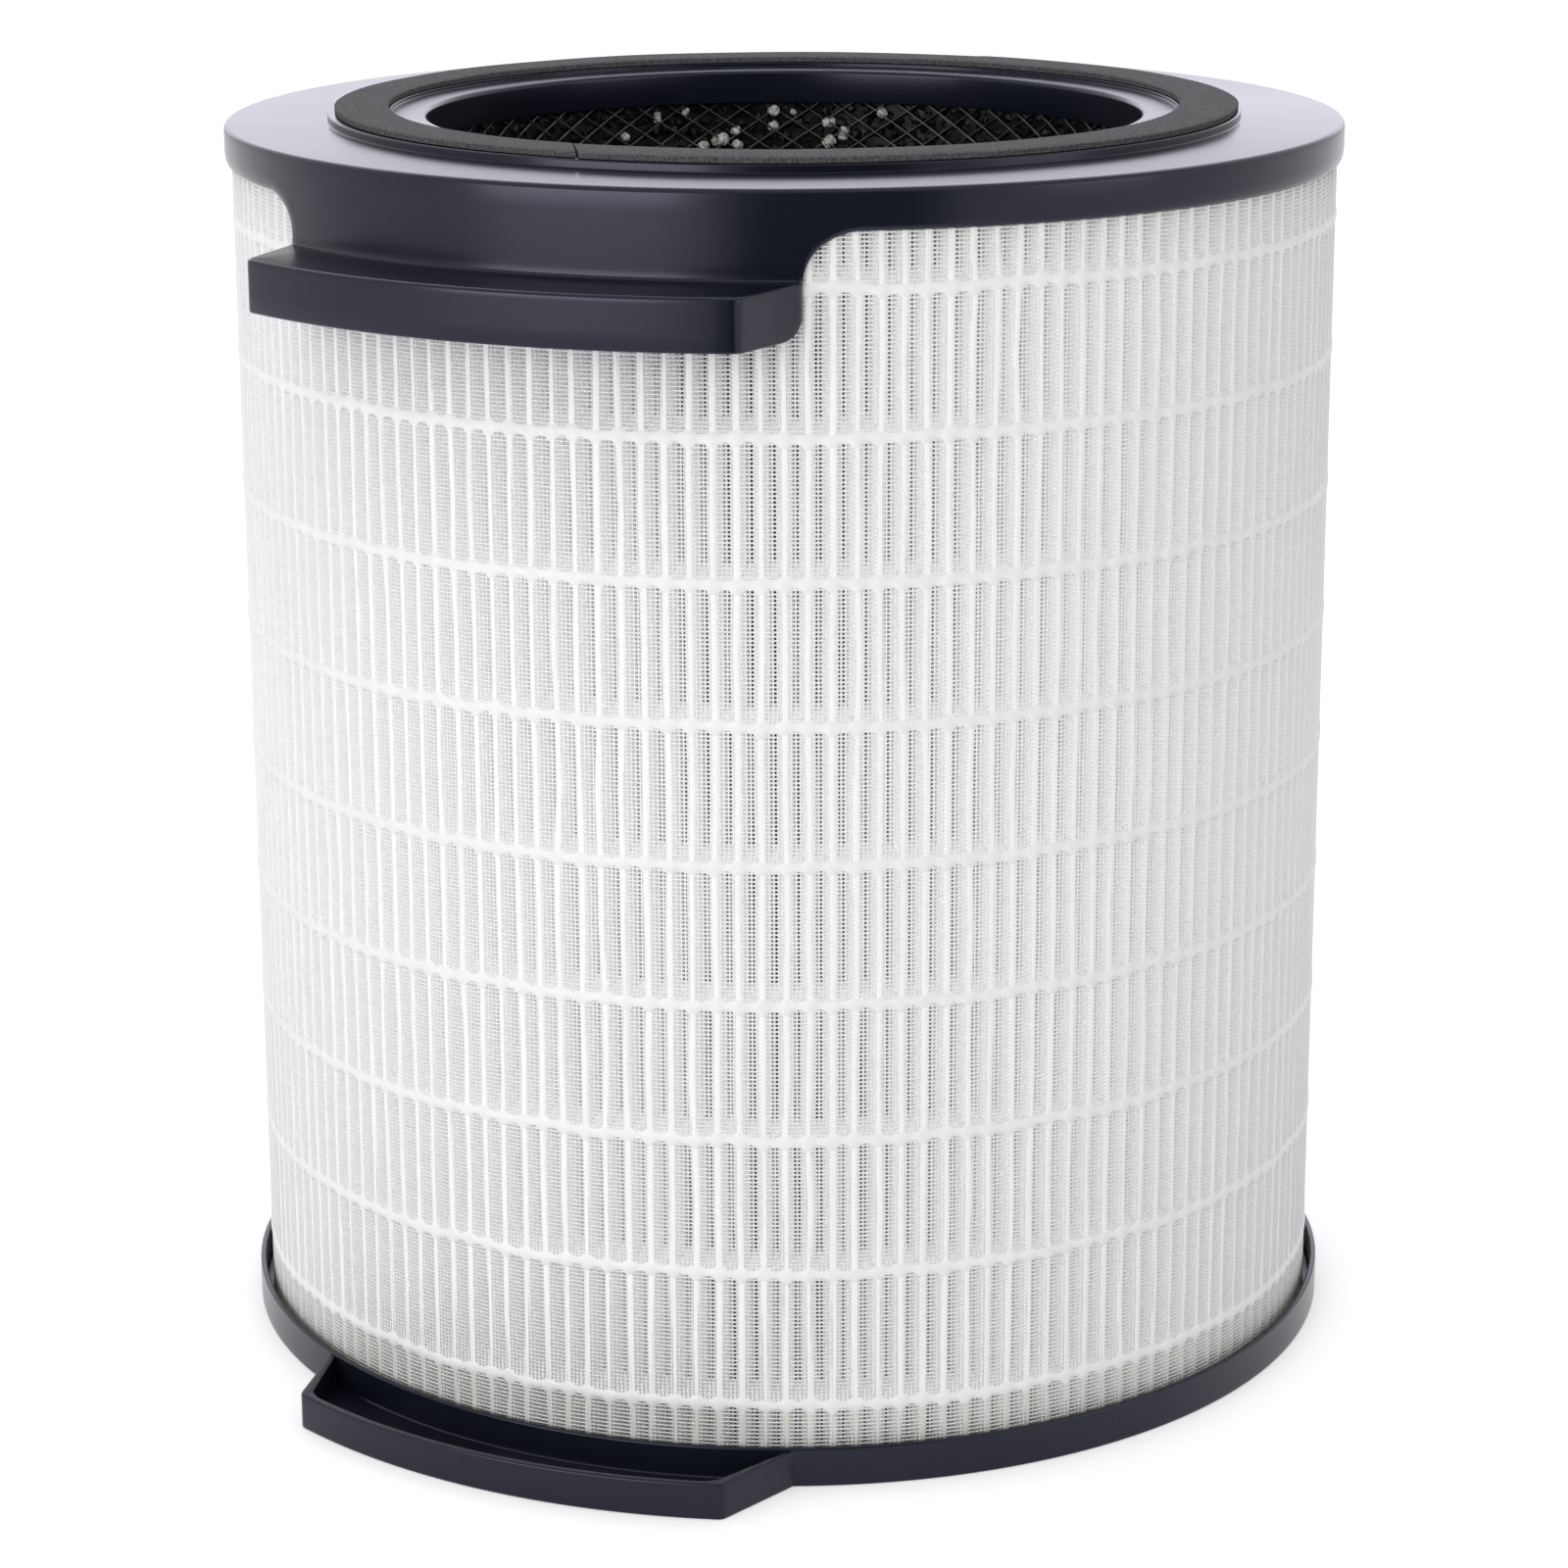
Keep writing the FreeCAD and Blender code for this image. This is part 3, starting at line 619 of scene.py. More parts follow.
def bottom_cap_mesh():
    """The bottom cap: a pan whose wall runs out round a tray at the front."""
    pan = pan_line()
    skin = Skin()

    def column(angle, outer):
        edge = min(TAB_EDGE, EDGE_SHARE * (outer - BASE_R))
        inner = BASE_R
        if outer > BASE_R:
            inner = hollow_radius(angle, TAB_WALL, TAB_X, BASE_R, TAB_ROOT_X, BASE_R)
        lip = min(TRAY_EDGE, EDGE_SHARE * (inner - BASE_R))
        wall = [(outer - UNDER_ROUND * along, UNDER_ROUND * across) for across, along in QUARTER]
        wall += [(outer, 3.2), (outer, 6.0)]
        wall += [(outer - edge * across, TAB_TOP - edge * along) for across, along in QUARTER]
        wall.append((inner + lip, TAB_TOP))
        tray = []
        if inner > BASE_R + 0.01:
            tray = [(inner + 0.3 * lip, TAB_TOP - 0.3 * lip), (inner, TAB_TOP - lip), (inner, FLOOR_Z + lip),
                    (inner - 0.3 * lip, FLOOR_Z + 0.3 * lip), (inner - lip, FLOOR_Z),
                    (BASE_R + lip, FLOOR_Z), (BASE_R, FLOOR_Z + lip), (BASE_R, TAB_TOP - lip)]
        return skin.column(angle, [pan, wall, tray, [(BASE_R, TAB_TOP)]])

    half = plan_columns(BASE_R, TAB_ROOT_X, TAB_X, TAB_CORNER_R)
    root = half[0][0]
    count = 240
    rest = [root + (2 * math.pi - 2 * root) * step / count for step in range(1, count)]
    columns = [column(angle, radius) for angle, radius in both_halves(half)]
    columns += [column(angle, BASE_R) for angle in rest]
    for left, right in zip(columns, columns[1:] + columns[:1]):
        skin.join(left, right)
        if bool(left[2]) != bool(right[2]):
            # The upright end of the tray's hollow
            whole = left if left[2] else right
            skin.faces.append((whole[1][-1], *whole[2], whole[3][0]))
    return clean_mesh("cap_bottom", skin.points, skin.faces, weld=0.00002)


# Foam seal, with the waves of its thickness and edges as (millimetres, waves in a full turn)
SEAL_COLUMNS = 150
THICK_WAVES = [(0.05, 5), (0.04, 13)]
OUTER_WAVES = [(0.12, 4), (0.07, 17)]
INNER_WAVES = [(0.10, 6), (0.05, 15)]
# The seam slants from -SEAM_X inside to SEAM_X outside, and its gap widens outwards.
SEAM_X = 4.5
SEAM_GAP = 0.15
SEAM_WIDENS = 0.4


def ripple(waves, phases, turn):
    """The sum of waves at a turn round the ring."""
    return sum(height * math.sin(count * turn + phase) for (height, count), phase in zip(waves, phases))


def seal_mesh(name, side, outer):
    """Half a foam ring with slanted ends, slightly uneven in thickness and width."""
    phases = np.random.default_rng(SEAL_SEED + side).uniform(0, 2 * math.pi, (3, 2))
    # (share of the width, share of the thickness) round the section
    section = rounded([(0.0, 0.5, 0), (0.0, 1.0, 0.22), (1.0, 1.0, 0.22), (1.0, 0.0, 0.12),
                       (0.0, 0.0, 0.12), (0.0, 0.5, 0)], 4)[:-1]
    points = []
    for step in range(SEAL_COLUMNS + 1):
        share = step / SEAL_COLUMNS
        turn = share * math.pi
        thick = SEAL_THICK - 0.12 + ripple(THICK_WAVES, phases[0], turn)
        edge = ripple(OUTER_WAVES, phases[1], turn)
        inside = ripple(INNER_WAVES, phases[2], turn)
        for across, up in section:
            radius = SEAL_IN + inside + (outer + edge - SEAL_IN - inside) * across
            seam_x = SEAM_X * (2 * across - 1) + side * (SEAM_GAP + SEAM_WIDENS * across)
            front = math.asin(seam_x / radius)
            back = math.pi - front if side > 0 else -math.pi - front
            angle = front + (back - front) * share
            points.append(polar_point(radius, angle, LAND_Z + 0.02 + thick * up))
    return clean_mesh(name, points, tube_faces(SEAL_COLUMNS + 1, len(section)))


# Folded sheet. From one glue line to the next each pleat drifts sideways and outwards, and bows.
ROWS_PER_SPAN = 2
KNOTS_Z = [PACK_BOTTOM] + GLUE_Z + [PACK_TOP]
pleat_rng = np.random.default_rng(PLEAT_SEED)
PLEAT_SHIFT = pleat_rng.normal(0, 0.16, (PLEATS, len(KNOTS_Z)))
PLEAT_BOW = pleat_rng.normal(0, 0.2, (PLEATS, len(KNOTS_Z) - 1))
PLEAT_OUT = pleat_rng.normal(0, 0.02, (PLEATS, len(KNOTS_Z)))
# The share of the drift that is lost at the valley's depth
DRIFT_LOSS = 0.85
# (depth below the fold, half width): flat where the net presses on it, round beside that
FOLD_HALF = [(0.0, 0.0), (0.02, 0.42), (0.1, 0.66), (0.3, 0.86), (0.75, 1.08), (1.6, 1.36), (3.0, 1.69),
             (5.0, 1.92), (8.0, 2.02), (12.0, 1.98), (VALLEY_DEPTH - 1.2, 1.76)]
FOLD_OUTSIDE = [(depth, -width) for depth, width in reversed(FOLD_HALF)] + FOLD_HALF[1:]
FOLD_INSIDE = [(VALLEY_DEPTH + 0.4, -2.04), (7.0, -0.3), (1.2, 0.0), (7.0, 0.3)]


def pleat_rows():
    """For each row: its height, and each pleat's sideways drift and outward drift."""
    rows = []
    spans = len(KNOTS_Z) - 1
    for span in range(spans):
        low, high = KNOTS_Z[span], KNOTS_Z[span + 1]
        count = ROWS_PER_SPAN + 1 if span == spans - 1 else ROWS_PER_SPAN
        for step in range(count):
            t = step / ROWS_PER_SPAN
            drift = PLEAT_SHIFT[:, span] * (1 - t) + PLEAT_SHIFT[:, span + 1] * t
            drift = drift + PLEAT_BOW[:, span] * 4 * t * (1 - t)
            out = PLEAT_OUT[:, span] * (1 - t) + PLEAT_OUT[:, span + 1] * t
            rows.append((low + (high - low) * t, drift, out))
    return rows


def pleat_grid(shape, rows, with_valley):
    """The points of all pleats, row by row. shape is (depth, sideways) across one pleat."""
    middle = np.arange(PLEATS) * PLEAT_TURN
    grid = []
    for z, drift, out in rows:
        line = []
        for depth, aside in shape:
            share = 1 - depth / VALLEY_DEPTH * DRIFT_LOSS
            radius = TIP_R - depth + out * share
            line.append(polar_grid(radius, middle + (aside + drift * share) / radius, z))
        if with_valley:
            line.append(polar_grid(TIP_R - VALLEY_DEPTH, middle + PLEAT_TURN / 2, z))
        grid.append(np.stack(line, 1).reshape(-1, 3))
    return np.stack(grid)


def ring_quads(rows, count, start, flip):
    """Quads between rows of points that each close round the axis. start is the first point's index."""
    row = np.arange(rows - 1)[:, None] * count
    here = row + np.arange(count)[None]
    beyond = row + (np.arange(count)[None] + 1) % count
    block = np.stack([here, beyond, beyond + count, here + count], -1).reshape(-1, 4) + start
    return block[:, ::-1] if flip else block


def strip(first, second, flip):
    """Triangles between two lines of indices that run the same way."""
    made, i, j = [], 0, 0
    last_i, last_j = len(first) - 1, len(second) - 1
    while i < last_i or j < last_j:
        if j == last_j or (i < last_i and (i + 1) * last_j <= (j + 1) * last_i):
            made.append((first[i], first[i + 1], second[j]))
            i += 1
        else:
            made.append((first[i], second[j + 1], second[j]))
            j += 1
    return [face[::-1] for face in made] if flip else made


def sheet_ends(rows, wide, narrow):
    """The sheet's cut ends, top and bottom: triangles from each pleat's outline to its inner line.
    wide and narrow are the points of an outer and an inner row."""
    outline, inline = wide // PLEATS, narrow // PLEATS
    ends = []
    for row, flip in ((0, True), (rows - 1, False)):
        inner_row = rows * wide + row * narrow
        for pleat in range(PLEATS):
            outer = [row * wide + (pleat * outline + step) % wide for step in range(-1, outline)]
            inner = [inner_row + (pleat * inline + step) % narrow for step in range(inline + 1)]
            ends += strip(outer[:outline // 2 + 1], inner[:3], flip)
            ends += strip(outer[outline // 2:], inner[2:], flip)
    return ends


def pleat_mesh():
    """The folded sheet as one closed skin: rounded folds outside, tight folds inside."""
    rows = pleat_rows()
    outside = pleat_grid(FOLD_OUTSIDE, rows, True)
    inside = pleat_grid(FOLD_INSIDE, rows, False)
    wide, narrow = outside.shape[1], inside.shape[1]
    points = np.concatenate([outside.reshape(-1, 3), inside.reshape(-1, 3)]) / 1000
    faces = [ring_quads(len(rows), wide, 0, False), ring_quads(len(rows), narrow, len(rows) * wide, True)]
    mesh = fast_mesh("pleats", points, np.concatenate(faces))
    shape = bmesh.new()
    shape.from_mesh(mesh)
    shape.verts.ensure_lookup_table()
    for face in sheet_ends(len(rows), wide, narrow):
        if len(set(face)) == 3:
            shape.faces.new([shape.verts[index] for index in face])
    return write_shape(shape, mesh)


# Glue lines, as (radius, height) round the bead over a fold and in the middle of a valley
BEAD_FOLD = [(132.2, -1.6), (133.3, -2.1), (133.6, -1.3), (133.7, 0.0), (133.6, 1.2), (133.3, 1.8),
             (132.2, 1.6)]
BEAD_DIP = [(129.0, -0.4), (132.4, -1.0), (133.38, -0.7), (133.46, 0.2), (133.36, 1.0), (132.2, 2.4),
            (128.5, 4.6)]
BEAD_COLUMNS = 6


def glue_mesh(number):
    """A bead that lies over each fold and sinks back into each valley above its arched lower edge."""
    local = np.random.default_rng(BEAD_SEED + number)
    level = local.normal(0, 0.22, PLEATS)
    size = local.uniform(0.85, 1.2, PLEATS)
    shift = PLEAT_SHIFT[:, number + 1]
    points = []
    for pleat in range(PLEATS):
        after = (pleat + 1) % PLEATS
        for column in range(BEAD_COLUMNS):
            t = column / BEAD_COLUMNS
            across = min(1.0, max(0.0, (0.5 - abs(t - 0.5) - 0.12) / 0.3))
            dip_share = across * across * (3 - 2 * across)
            drift = shift[pleat] * (1 - t) + shift[after] * t
            lift = level[pleat] * (1 - t) + level[after] * t
            grow = size[pleat] * (1 - t) + size[after] * t
            angle = (pleat + t) * PLEAT_TURN + drift / TIP_R
            for (fold_r, fold_z), (dip_r, dip_z) in zip(BEAD_FOLD, BEAD_DIP):
                radius = fold_r + (dip_r - fold_r) * dip_share
                height = (fold_z * grow) * (1 - dip_share) + dip_z * dip_share
                points.append(polar_point(radius, angle, GLUE_Z[number] + lift + height))
    ring, total = len(BEAD_FOLD), PLEATS * BEAD_COLUMNS
    here = np.arange(total)[:, None] * ring
    after = (np.arange(total)[:, None] + 1) % total * ring
    corner = np.arange(ring)[None]
    beyond = (corner + 1) % ring
    faces = np.stack([after + corner, after + beyond, here + beyond, here + corner], -1).reshape(-1, 4)
    return fast_mesh(f"bead_{number + 1}", points, faces)


# Nets
def bar_mesh(name, points, closed):
    """Bars of three-cornered section. points is (bars, stations, 3 corners, 3) in millimetres."""
    bars, stations = points.shape[:2]
    steps = stations if closed else stations - 1
    bar = np.arange(bars)[:, None] * stations * 3
    step = np.arange(steps)[None]
    here, after = bar + step * 3, bar + (step + 1) % stations * 3
    faces = []
    for corner in range(3):
        beyond = (corner + 1) % 3
        sides = np.stack([here + corner, here + beyond, after + beyond, after + corner], -1)
        faces.append(sides.reshape(-1, 4))
    return fast_mesh(name, points.reshape(-1, 3) / 1000, np.concatenate(faces))


def net_rings_mesh(name, low, high):
    """Level threads, drawn straight from fold to fold."""
    count = round((high - low) / NET_PITCH)
    heights = low + (np.arange(count) + 0.5) * (high - low) / count
    angle = np.arange(PLEATS) * 2 * math.pi / PLEATS
    section = [(NET_R, -NET_THREAD / 2), (NET_R + NET_THICK, 0.0), (NET_R, NET_THREAD / 2)]
    points = np.zeros((count, PLEATS, 3, 3))
    for corner, (radius, up) in enumerate(section):
        points[:, :, corner] = polar_grid(radius, angle[None], heights[:, None] + up)
    return bar_mesh(name, points, closed=True)


def net_uprights_mesh():
    """Upright threads in the same layer as the level ones, whose radius dips between the folds."""
    angle = (np.arange(NET_UPRIGHTS) + 0.37) * 2 * math.pi / NET_UPRIGHTS
    within = (angle / PLEAT_TURN) % 1.0
    dipped = NET_R * (math.cos(math.pi / PLEATS) / np.cos((within - 0.5) * 2 * math.pi / PLEATS))
    section = [(0.0, -NET_THREAD / 2), (0.0, NET_THREAD / 2), (NET_THICK, 0.0)]
    points = np.zeros((NET_UPRIGHTS, 2, 3, 3))
    for corner, (out, aside) in enumerate(section):
        radius = dipped + out
        for station, z in enumerate((NET_BOTTOM, NET_TOP)):
            points[:, station, corner] = polar_grid(radius, angle + aside / radius, z)
    return close_ends(bar_mesh("uprights", points, closed=False))


def core_netting_mesh():
    """Extruded netting: two crossing layers of leaning strands."""
    strands, stations, lean_degrees = 63, 80, 32.9
    half, half_height = CORE_STRAND / 2, CORE_STRAND / 2 * 1.2
    travel = PACK_HEIGHT / math.tan(math.radians(lean_degrees))
    along = np.linspace(0, 1, stations)
    first = np.arange(strands) * 2 * math.pi / strands
    z = PACK_BOTTOM + along * PACK_HEIGHT
    layers = []
    for way, radius in ((1, CORE_R - 0.22), (-1, CORE_R + 0.12)):
        angle = first[:, None] + way * along[None] * travel / CORE_R
        points = np.zeros((strands, stations, 3, 3))
        for corner, (out, up) in enumerate(((half, -half_height), (-half, 0.0), (half, half_height))):
            points[:, :, corner] = polar_grid(radius + out, angle, z[None] + up)
        layers.append(points)
    points = np.concatenate(layers)
    points[..., 2] = np.clip(points[..., 2], PACK_BOTTOM, PACK_TOP)
    return close_ends(bar_mesh("core", points, closed=False))


# Granules. The icosahedron's corners and sides are the base of each crushed stone.
GOLDEN = (1 + 5 ** 0.5) / 2
STONE_CORNERS = np.array([
    (-1, GOLDEN, 0), (1, GOLDEN, 0), (-1, -GOLDEN, 0), (1, -GOLDEN, 0), (0, -1, GOLDEN), (0, 1, GOLDEN),
    (0, -1, -GOLDEN), (0, 1, -GOLDEN), (GOLDEN, 0, -1), (GOLDEN, 0, 1), (-GOLDEN, 0, -1), (-GOLDEN, 0, 1)])
STONE_SIDES = np.array([
    (0, 11, 5), (0, 5, 1), (0, 1, 7), (0, 7, 10), (0, 10, 11), (1, 5, 9), (5, 11, 4), (11, 10, 2),
    (10, 7, 6), (7, 1, 8), (3, 9, 4), (3, 4, 2), (3, 2, 6), (3, 6, 8), (3, 8, 9), (4, 9, 5),
    (2, 4, 11), (6, 2, 10), (8, 6, 7), (9, 8, 1)])
# The stones reach from here up to the top of the bore, where single ones can be seen.
STONES_FROM_Z = 243.5
STONE_ROWS = 20
STONE_ROW_HEIGHT = 2.65
STONES_ROUND = 205


def any_turn(generator):
    """A random turn about a random axis."""
    return Matrix.Rotation(generator.uniform(0, 6.28), 3, generator.normal(0, 1, 3))


def stone_spots(generator):
    """(angle, height) of each single stone."""
    return [((column + generator.uniform(0, 0.8)) * 2 * math.pi / STONES_ROUND,
             STONES_FROM_Z + (row + generator.uniform(0, 0.8)) * STONE_ROW_HEIGHT)
            for row in range(STONE_ROWS) for column in range(STONES_ROUND)]


def stone_mesh():
    """Crushed granules: jittered twenty-sided stones."""
    generator = np.random.default_rng(STONE_SEED)
    corners = STONE_CORNERS / np.linalg.norm(STONE_CORNERS[0])
    points, faces = [], []
    for number, (angle, z) in enumerate(stone_spots(generator)):
        scale = STONE_SIZE * generator.uniform(0.75, 1.2) * generator.uniform(0.75, 1.2, 3)
        shape = corners * scale * generator.uniform(0.8, 1.15, (12, 1))
        shape = shape @ np.array(any_turn(generator)).T
        out = STONES_R + generator.uniform(-0.25, 0.9)
        points.append(shape + polar_grid(out, angle, z))
        faces.append(STONE_SIDES + 12 * number)
    return fast_mesh("stones", np.concatenate(points) / 1000, np.concatenate(faces))


# The bed behind them is one bumpy skin.
BED_GRID = 2.3
BUMP_SPACING = 2.9
BUMP_REACH = 2.1
BUMP_HEIGHT = 1.2
BED_BACK = 1.0
WRAP_MARGIN = 6


def bump_tree(whole):
    """A search tree of the bumps' middles as (length round the bed, z), wrapped at both ends."""
    local = np.random.default_rng(BED_SEED)
    middles = []
    for row in range(int(PACK_HEIGHT / BUMP_SPACING) + 1):
        for column in range(int(whole / BUMP_SPACING)):
            length = (column + local.uniform(0.1, 0.9)) * BUMP_SPACING
            z = PACK_BOTTOM + (row + local.uniform(0.1, 0.9)) * BUMP_SPACING
            middles.append((length, z))
    wrapped = list(middles)
    wrapped += [(length - whole, z) for length, z in middles if length > whole - WRAP_MARGIN]
    wrapped += [(length + whole, z) for length, z in middles if length < WRAP_MARGIN]
    tree = kdtree.KDTree(len(wrapped))
    for index, (length, z) in enumerate(wrapped):
        tree.insert((length, z, 0), index)
    tree.balance()
    return tree


def bed_mesh():
    """The bed's inner face, bumpy with granules, closed by a plain outer face."""
    whole = 2 * math.pi * BED_R
    around, up = int(whole / BED_GRID), int(PACK_HEIGHT / BED_GRID)
    tree = bump_tree(whole)
    points = []
    for row in range(up + 1):
        z = PACK_BOTTOM + PACK_HEIGHT * row / up
        for column in range(around):
            length = whole * column / around
            distance = tree.find((length, z, 0))[2]
            bulge = math.sqrt(max(0.0, 1 - (distance / BUMP_REACH) ** 2))
            points.append(polar_point(BED_R + BED_BACK - BUMP_HEIGHT * bulge, length / BED_R, z))
    base = len(points)
    for z in (PACK_BOTTOM, PACK_TOP):
        for column in range(around):
            points.append(polar_point(BED_R + BED_DEPTH, 2 * math.pi * column / around, z))
    faces = []
    for row in range(up):
        here, above = row * around, (row + 1) * around
        for column in range(around):
            beyond = (column + 1) % around
            faces.append((here + column, above + column, above + beyond, here + beyond))
    top, base_top = up * around, base + around
    for column in range(around):
        beyond = (column + 1) % around
        faces.append((base + column, base + beyond, base_top + beyond, base_top + column))
        faces.append((column, beyond, base + beyond, base + column))
        faces.append((top + column, base_top + column, base_top + beyond, top + beyond))
    return fast_mesh("bed", points, faces)


# Pale pellets among the granules
# (degrees from the -Y side, height, size) of those that show at the far side of the bore
SEEN_PELLETS = [
    (209, 289.5, 1.1), (209, 285.4, 0.75), (205.5, 289, 0.5), (218, 282, 1.15), (215.5, 284.4, 0.85),
    (215, 280.5, 0.85), (221, 280.5, 0.85), (199.5, 286.4, 0.9), (197, 283.5, 0.95), (199.5, 281.3, 1.0),
    (190.5, 289.3, 0.85), (224, 289.6, 0.6), (229, 288.4, 0.75), (235, 284, 0.7)]
# The scattered ones keep out of that part: above this height, and between these angles.
SEEN_FROM_Z = 276
SEEN_FROM_ANGLE = math.radians(150)
SEEN_TO_ANGLE = math.radians(262)
SCATTERED = 420
# (along, wide) shares of a pellet's half length and half thickness, with shallow ridges
PELLET_LINE = [(-1.0, 0.5), (-0.85, 0.9), (-0.6, 0.84), (-0.4, 1.0), (-0.1, 0.86), (0.1, 1.0), (0.4, 0.86),
               (0.6, 1.0), (0.85, 0.84), (1.0, 0.5)]
PELLET_SIDES = 8


def pellet_spots(generator):
    """(angle, height, size) of each pellet: the ones that show first, then the scattered ones."""
    spots = [(math.radians(degrees), z, size) for degrees, z, size in SEEN_PELLETS]
    for _ in range(SCATTERED):
        angle = generator.uniform(0, 2 * math.pi)
        z = PACK_BOTTOM + 3 + 289 * generator.uniform(0, 1)
        if z < SEEN_FROM_Z or not SEEN_FROM_ANGLE < angle < SEEN_TO_ANGLE:
            spots.append((angle, z, generator.uniform(0.6, 1.0)))
    return spots


def pellet_mesh():
    """Short pale pellets: ridged cylinders with narrowed ends, lying any way."""
    generator = np.random.default_rng(PELLET_SEED)
    points, faces = [], []
    for angle, z, size in pellet_spots(generator):
        length, thick = size * generator.uniform(1.7, 2.2), size * generator.uniform(1.4, 1.7)
        turn = any_turn(generator)
        out = PELLETS_R + generator.uniform(-0.1, 0.5)
        centre = Vector((out * math.sin(angle), -out * math.cos(angle), z))
        start = len(points)
        for along, wide in PELLET_LINE:
            for side in range(PELLET_SIDES):
                phi = 2 * math.pi * side / PELLET_SIDES
                across = wide * thick
                corner = Vector((along * length, math.cos(phi) * across, math.sin(phi) * across))
                points.append(tuple((turn @ corner + centre) / 1000))
        faces += tube_faces(len(PELLET_LINE), PELLET_SIDES, start)
    return clean_mesh("pellets", points, faces, weld=0.0000001)


# Building the pieces
def build_caps():
    finish_piece(top_cap_mesh(), "cap_top_moulding", CAP, "top_cap", sharp=40)
    finish_piece(bottom_cap_mesh(), "cap_bottom_moulding", CAP, "bottom_cap", sharp=40)


def build_seals():
    for side, hand, outer in ((-1, "left", SEAL_OUT), (1, "right", SEAL_OUT + 0.8)):
        mesh = seal_mesh(f"foam_{hand}", side, outer)
        foam = finish_piece(mesh, f"seal_foam_{hand}", FOAM, f"seal_{hand}", sharp=50)


def build_pack():
    finish_piece(pleat_mesh(), "pleat_sheet", SHEET, "pleated_media", sharp=60)
    for number in range(len(GLUE_Z)):
        finish_piece(glue_mesh(number), f"glue_bead_{number + 1}", GLUE, f"glue_line_{number + 1}",
                     sharp=50)


def build_net():
    """The white net, whose fine threads let the light through to the folds."""
    middle = (NET_BOTTOM + NET_TOP) / 2
    nets = [(net_rings_mesh("rings_low", NET_BOTTOM, middle), "net_threads_lower", "outer_net"),
            (net_rings_mesh("rings_high", middle, NET_TOP), "net_threads_upper", None),
            (net_uprights_mesh(), "net_threads_upright", None)]
    for mesh, name, node in nets:
        net = finish_piece(mesh, name, NET, node)
        net.visible_shadow = False
        net.visible_diffuse = False


def build_core():
    """The core netting with the granules and pellets behind it. The sleeve keeps its CAD mesh."""
    finish_piece(core_netting_mesh(), "core_netting", BLACK_NET, "core_net")
    finish_piece(bed_mesh(), "granule_bed", GRANULE, "carbon_bed")
    finish_piece(stone_mesh(), "granules_upper", GRANULE, None, sharp=5)
    finish_piece(pellet_mesh(), "granules_pale", PELLET, None, sharp=40)
    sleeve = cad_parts["bed_screen"].data
    sleeve.materials.clear()
    sleeve.materials.append(SLEEVE)


# Camera, floor, world and lights, in metres and degrees
CAMERA_AT = (0.47448, -0.92721, 0.42284)
CAMERA_TURNS = ((27.136, "Z"), (74.308, "X"), (-0.207, "Z"))
CAMERA_LENS = 98.06
LIGHT_AIM = Vector((0, 0, 0.15))
# The dark cards stand and lie between these angles from the -Y side.
CARD_FROM, CARD_TO = 16, 58


def camera():
    """The photograph's camera."""
    lens = bpy.data.cameras.new("camera")
    lens.sensor_width, lens.lens = 36.0, CAMERA_LENS
    lens.clip_start, lens.clip_end = 0.05, 50
    eye = put_in_scene("camera", lens)
    turn = Matrix.Identity(4)
    for degrees, axis in CAMERA_TURNS:
        turn = turn @ Matrix.Rotation(math.radians(degrees), 4, axis)
    eye.matrix_world = Matrix.Translation(CAMERA_AT) @ turn
    bpy.context.scene.camera = eye


def flat_piece(name, corners, surface):
    """A four-cornered face that belongs to the stage."""
    mesh = bpy.data.meshes.new(name)
    mesh.from_pydata(corners, [], [(0, 1, 2, 3)])
    mesh.materials.append(surface)
    piece = put_in_scene(name, mesh)
    return piece


def floor():
    """A white floor that takes the shadow, lifted where it is seen."""
    made, tree, shader = material("floor_white", (0.86, 0.86, 0.86), roughness=0.9, level=0.1)
    seen = seen_by_rays(tree)
    lift = add(tree, "Math", operation="MULTIPLY")
    lift.inputs[1].default_value = 0.4
    tree.links.new(seen, lift.inputs[0])
    shader.inputs["Emission Color"].default_value = (1, 1, 1, 1)
    tree.links.new(lift.outputs[0], shader.inputs["Emission Strength"])
    reach = 4.0
    corners = [(reach * x, reach * y, 0) for x, y in ((-1, -1), (1, -1), (1, 1), (-1, 1))]
    flat_piece("floor", corners, made)


def white_world():
    """White where it is seen, and weaker as a light."""
    world = bpy.data.worlds.new("studio")
    bpy.context.scene.world = world
    world.use_nodes = True
    tree = world.node_tree
    background = tree.nodes["Background"]
    background.inputs["Color"].default_value = (1, 1, 1, 1)
    level = map_range(tree, seen_by_rays(tree), To_Min=0.72, To_Max=1.0)
    tree.links.new(level, background.inputs["Strength"])


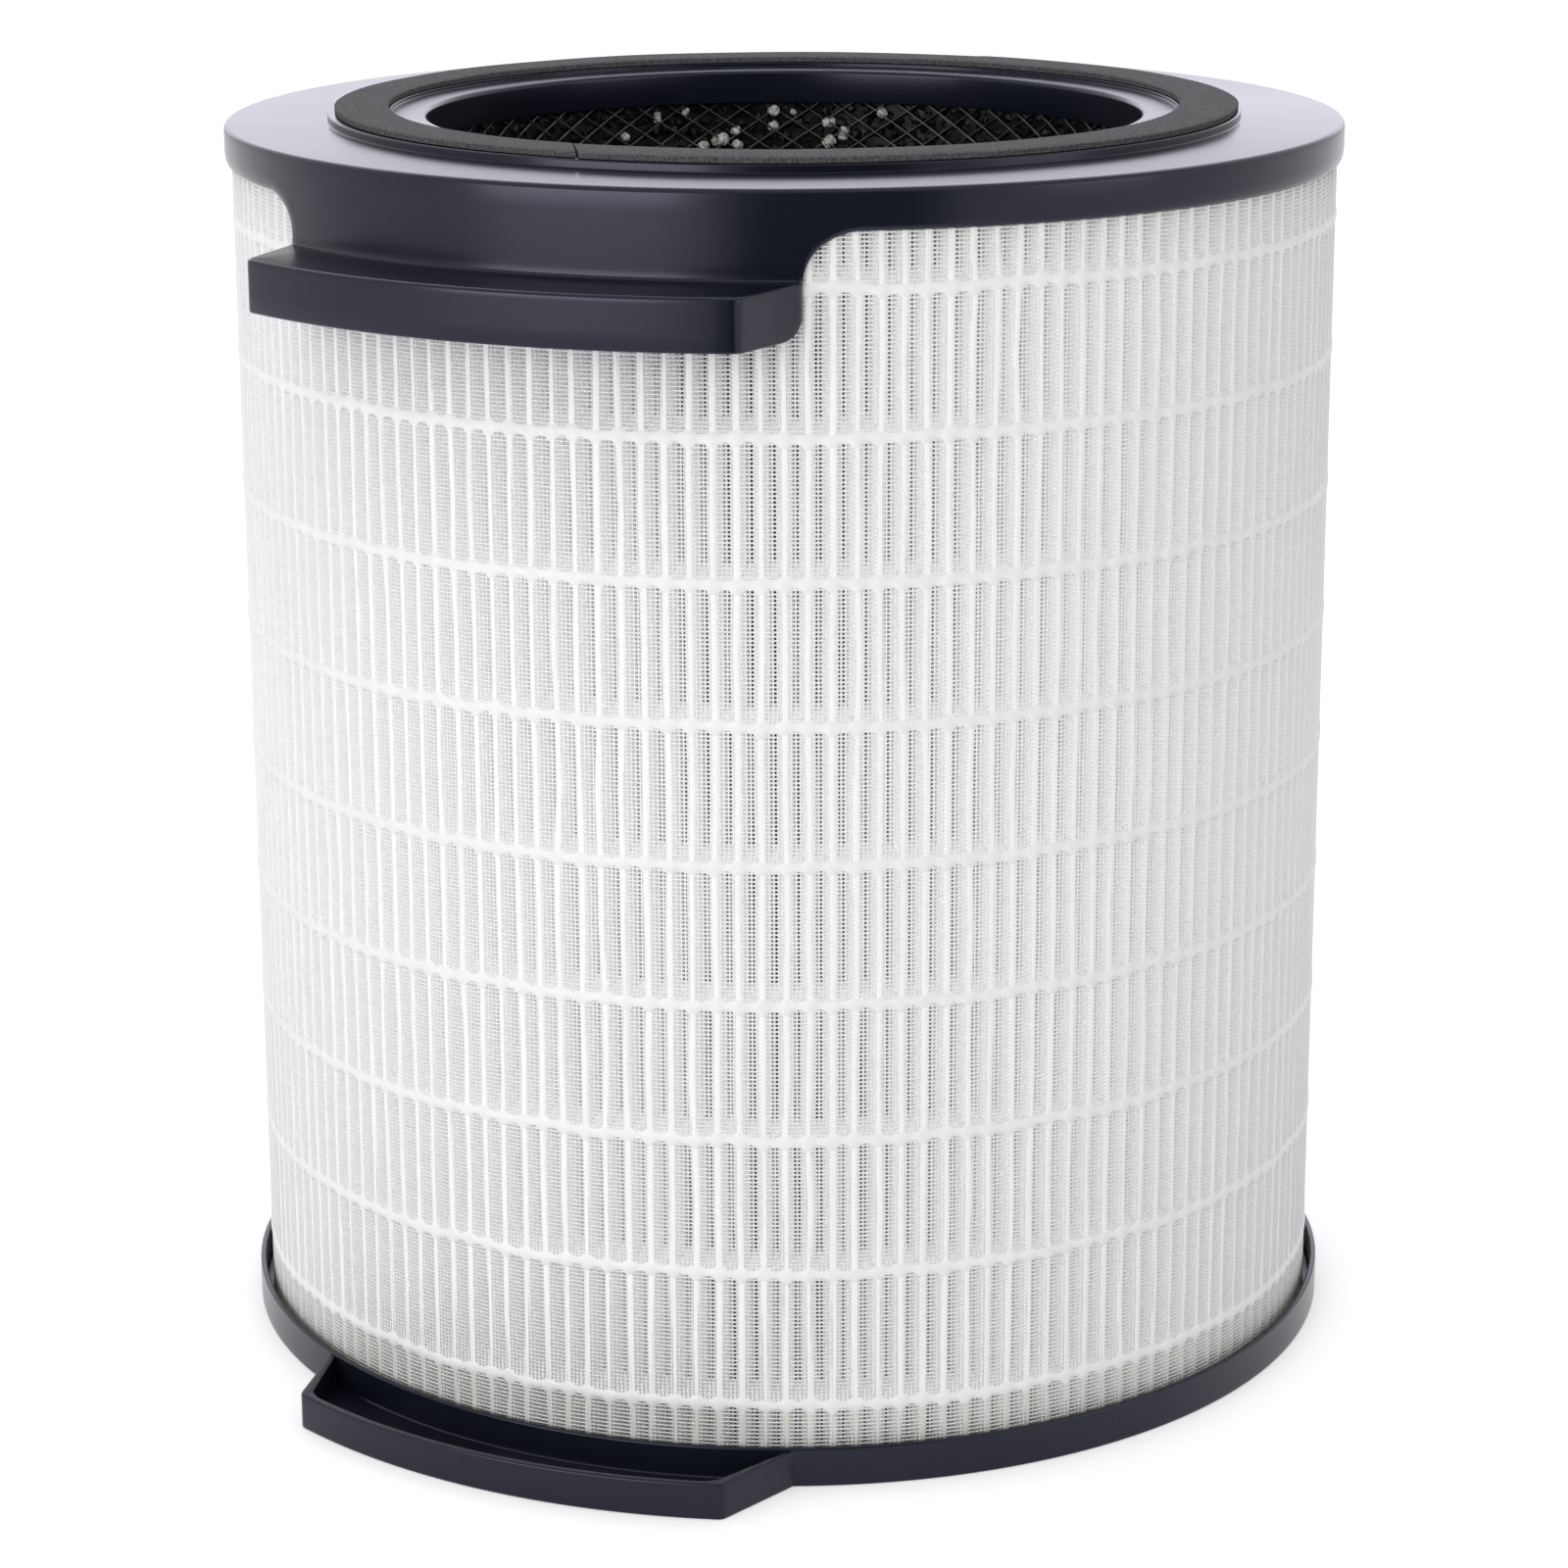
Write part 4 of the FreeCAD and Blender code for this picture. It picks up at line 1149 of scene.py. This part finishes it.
def soft_box(name, azimuth, elevation, distance, size, power, colour=(1, 1, 1), diffuse=True, glossy=True):
    """An area light that looks at the cartridge's middle from an azimuth, elevation and distance.
    diffuse and glossy tell whether it lights surfaces and whether it shows in their shine."""
    lamp = bpy.data.lights.new(name, "AREA")
    lamp.shape = "RECTANGLE"
    lamp.size, lamp.size_y = size
    lamp.energy, lamp.color = power, colour
    turn, rise = math.radians(azimuth), math.radians(elevation)
    away = Vector((math.sin(turn) * math.cos(rise), -math.cos(turn) * math.cos(rise), math.sin(rise)))
    box = put_in_scene(name, lamp)
    box.location = LIGHT_AIM + away * distance
    box.rotation_euler = away.to_track_quat("Z", "Y").to_euler()
    box.visible_camera = False
    box.visible_diffuse = diffuse
    box.visible_glossy = glossy


def lights():
    """Two lights for the plastic's shine, one for the rest, and two behind that show in the top face."""
    soft_box("key_light", -12, 10, 1.9, size=(1.4, 0.7), power=15, diffuse=False)
    soft_box("sheet_light", -3, 12, 1.9, size=(1.4, 0.8), power=11, glossy=False)
    soft_box("fill_light", 90, 14, 2.2, size=(1.0, 1.0), power=4.8, diffuse=False)
    soft_box("back_light", 207, 15, 2.4, size=(2.4, 0.9), power=6.5, colour=(0.8, 0.8, 1.0))
    soft_box("top_light", 207, 48, 2.2, size=(2.2, 0.45), power=9, colour=(0.8, 0.86, 1.0))


def dark_card(name, first, second):
    """A black card beside the camera, which only the plastic's reflections show.
    first and second are its level edges, as (distance from the axis, height) in millimetres."""
    places = ((CARD_FROM, first), (CARD_TO, first), (CARD_TO, second), (CARD_FROM, second))
    corners = [polar_point(reach, math.radians(azimuth), z) for azimuth, (reach, z) in places]
    black = material(name, (0.01, 0.01, 0.01), roughness=1.0, level=0.0)[0]
    card = flat_piece(name, corners, black)
    card.visible_camera = False
    card.visible_diffuse = False
    card.visible_shadow = False


def dark_cards():
    """One card that lies just over the floor and one that stands on it."""
    dark_card("dark_card_floor", (450, 2), (1700, 2))
    dark_card("dark_card_front", (1600, 0), (1600, 1500))


build_caps()
build_seals()
build_pack()
build_net()
build_core()
camera()
floor()
white_world()
lights()
dark_cards()
bpy.context.scene.view_settings.view_transform = "Standard"
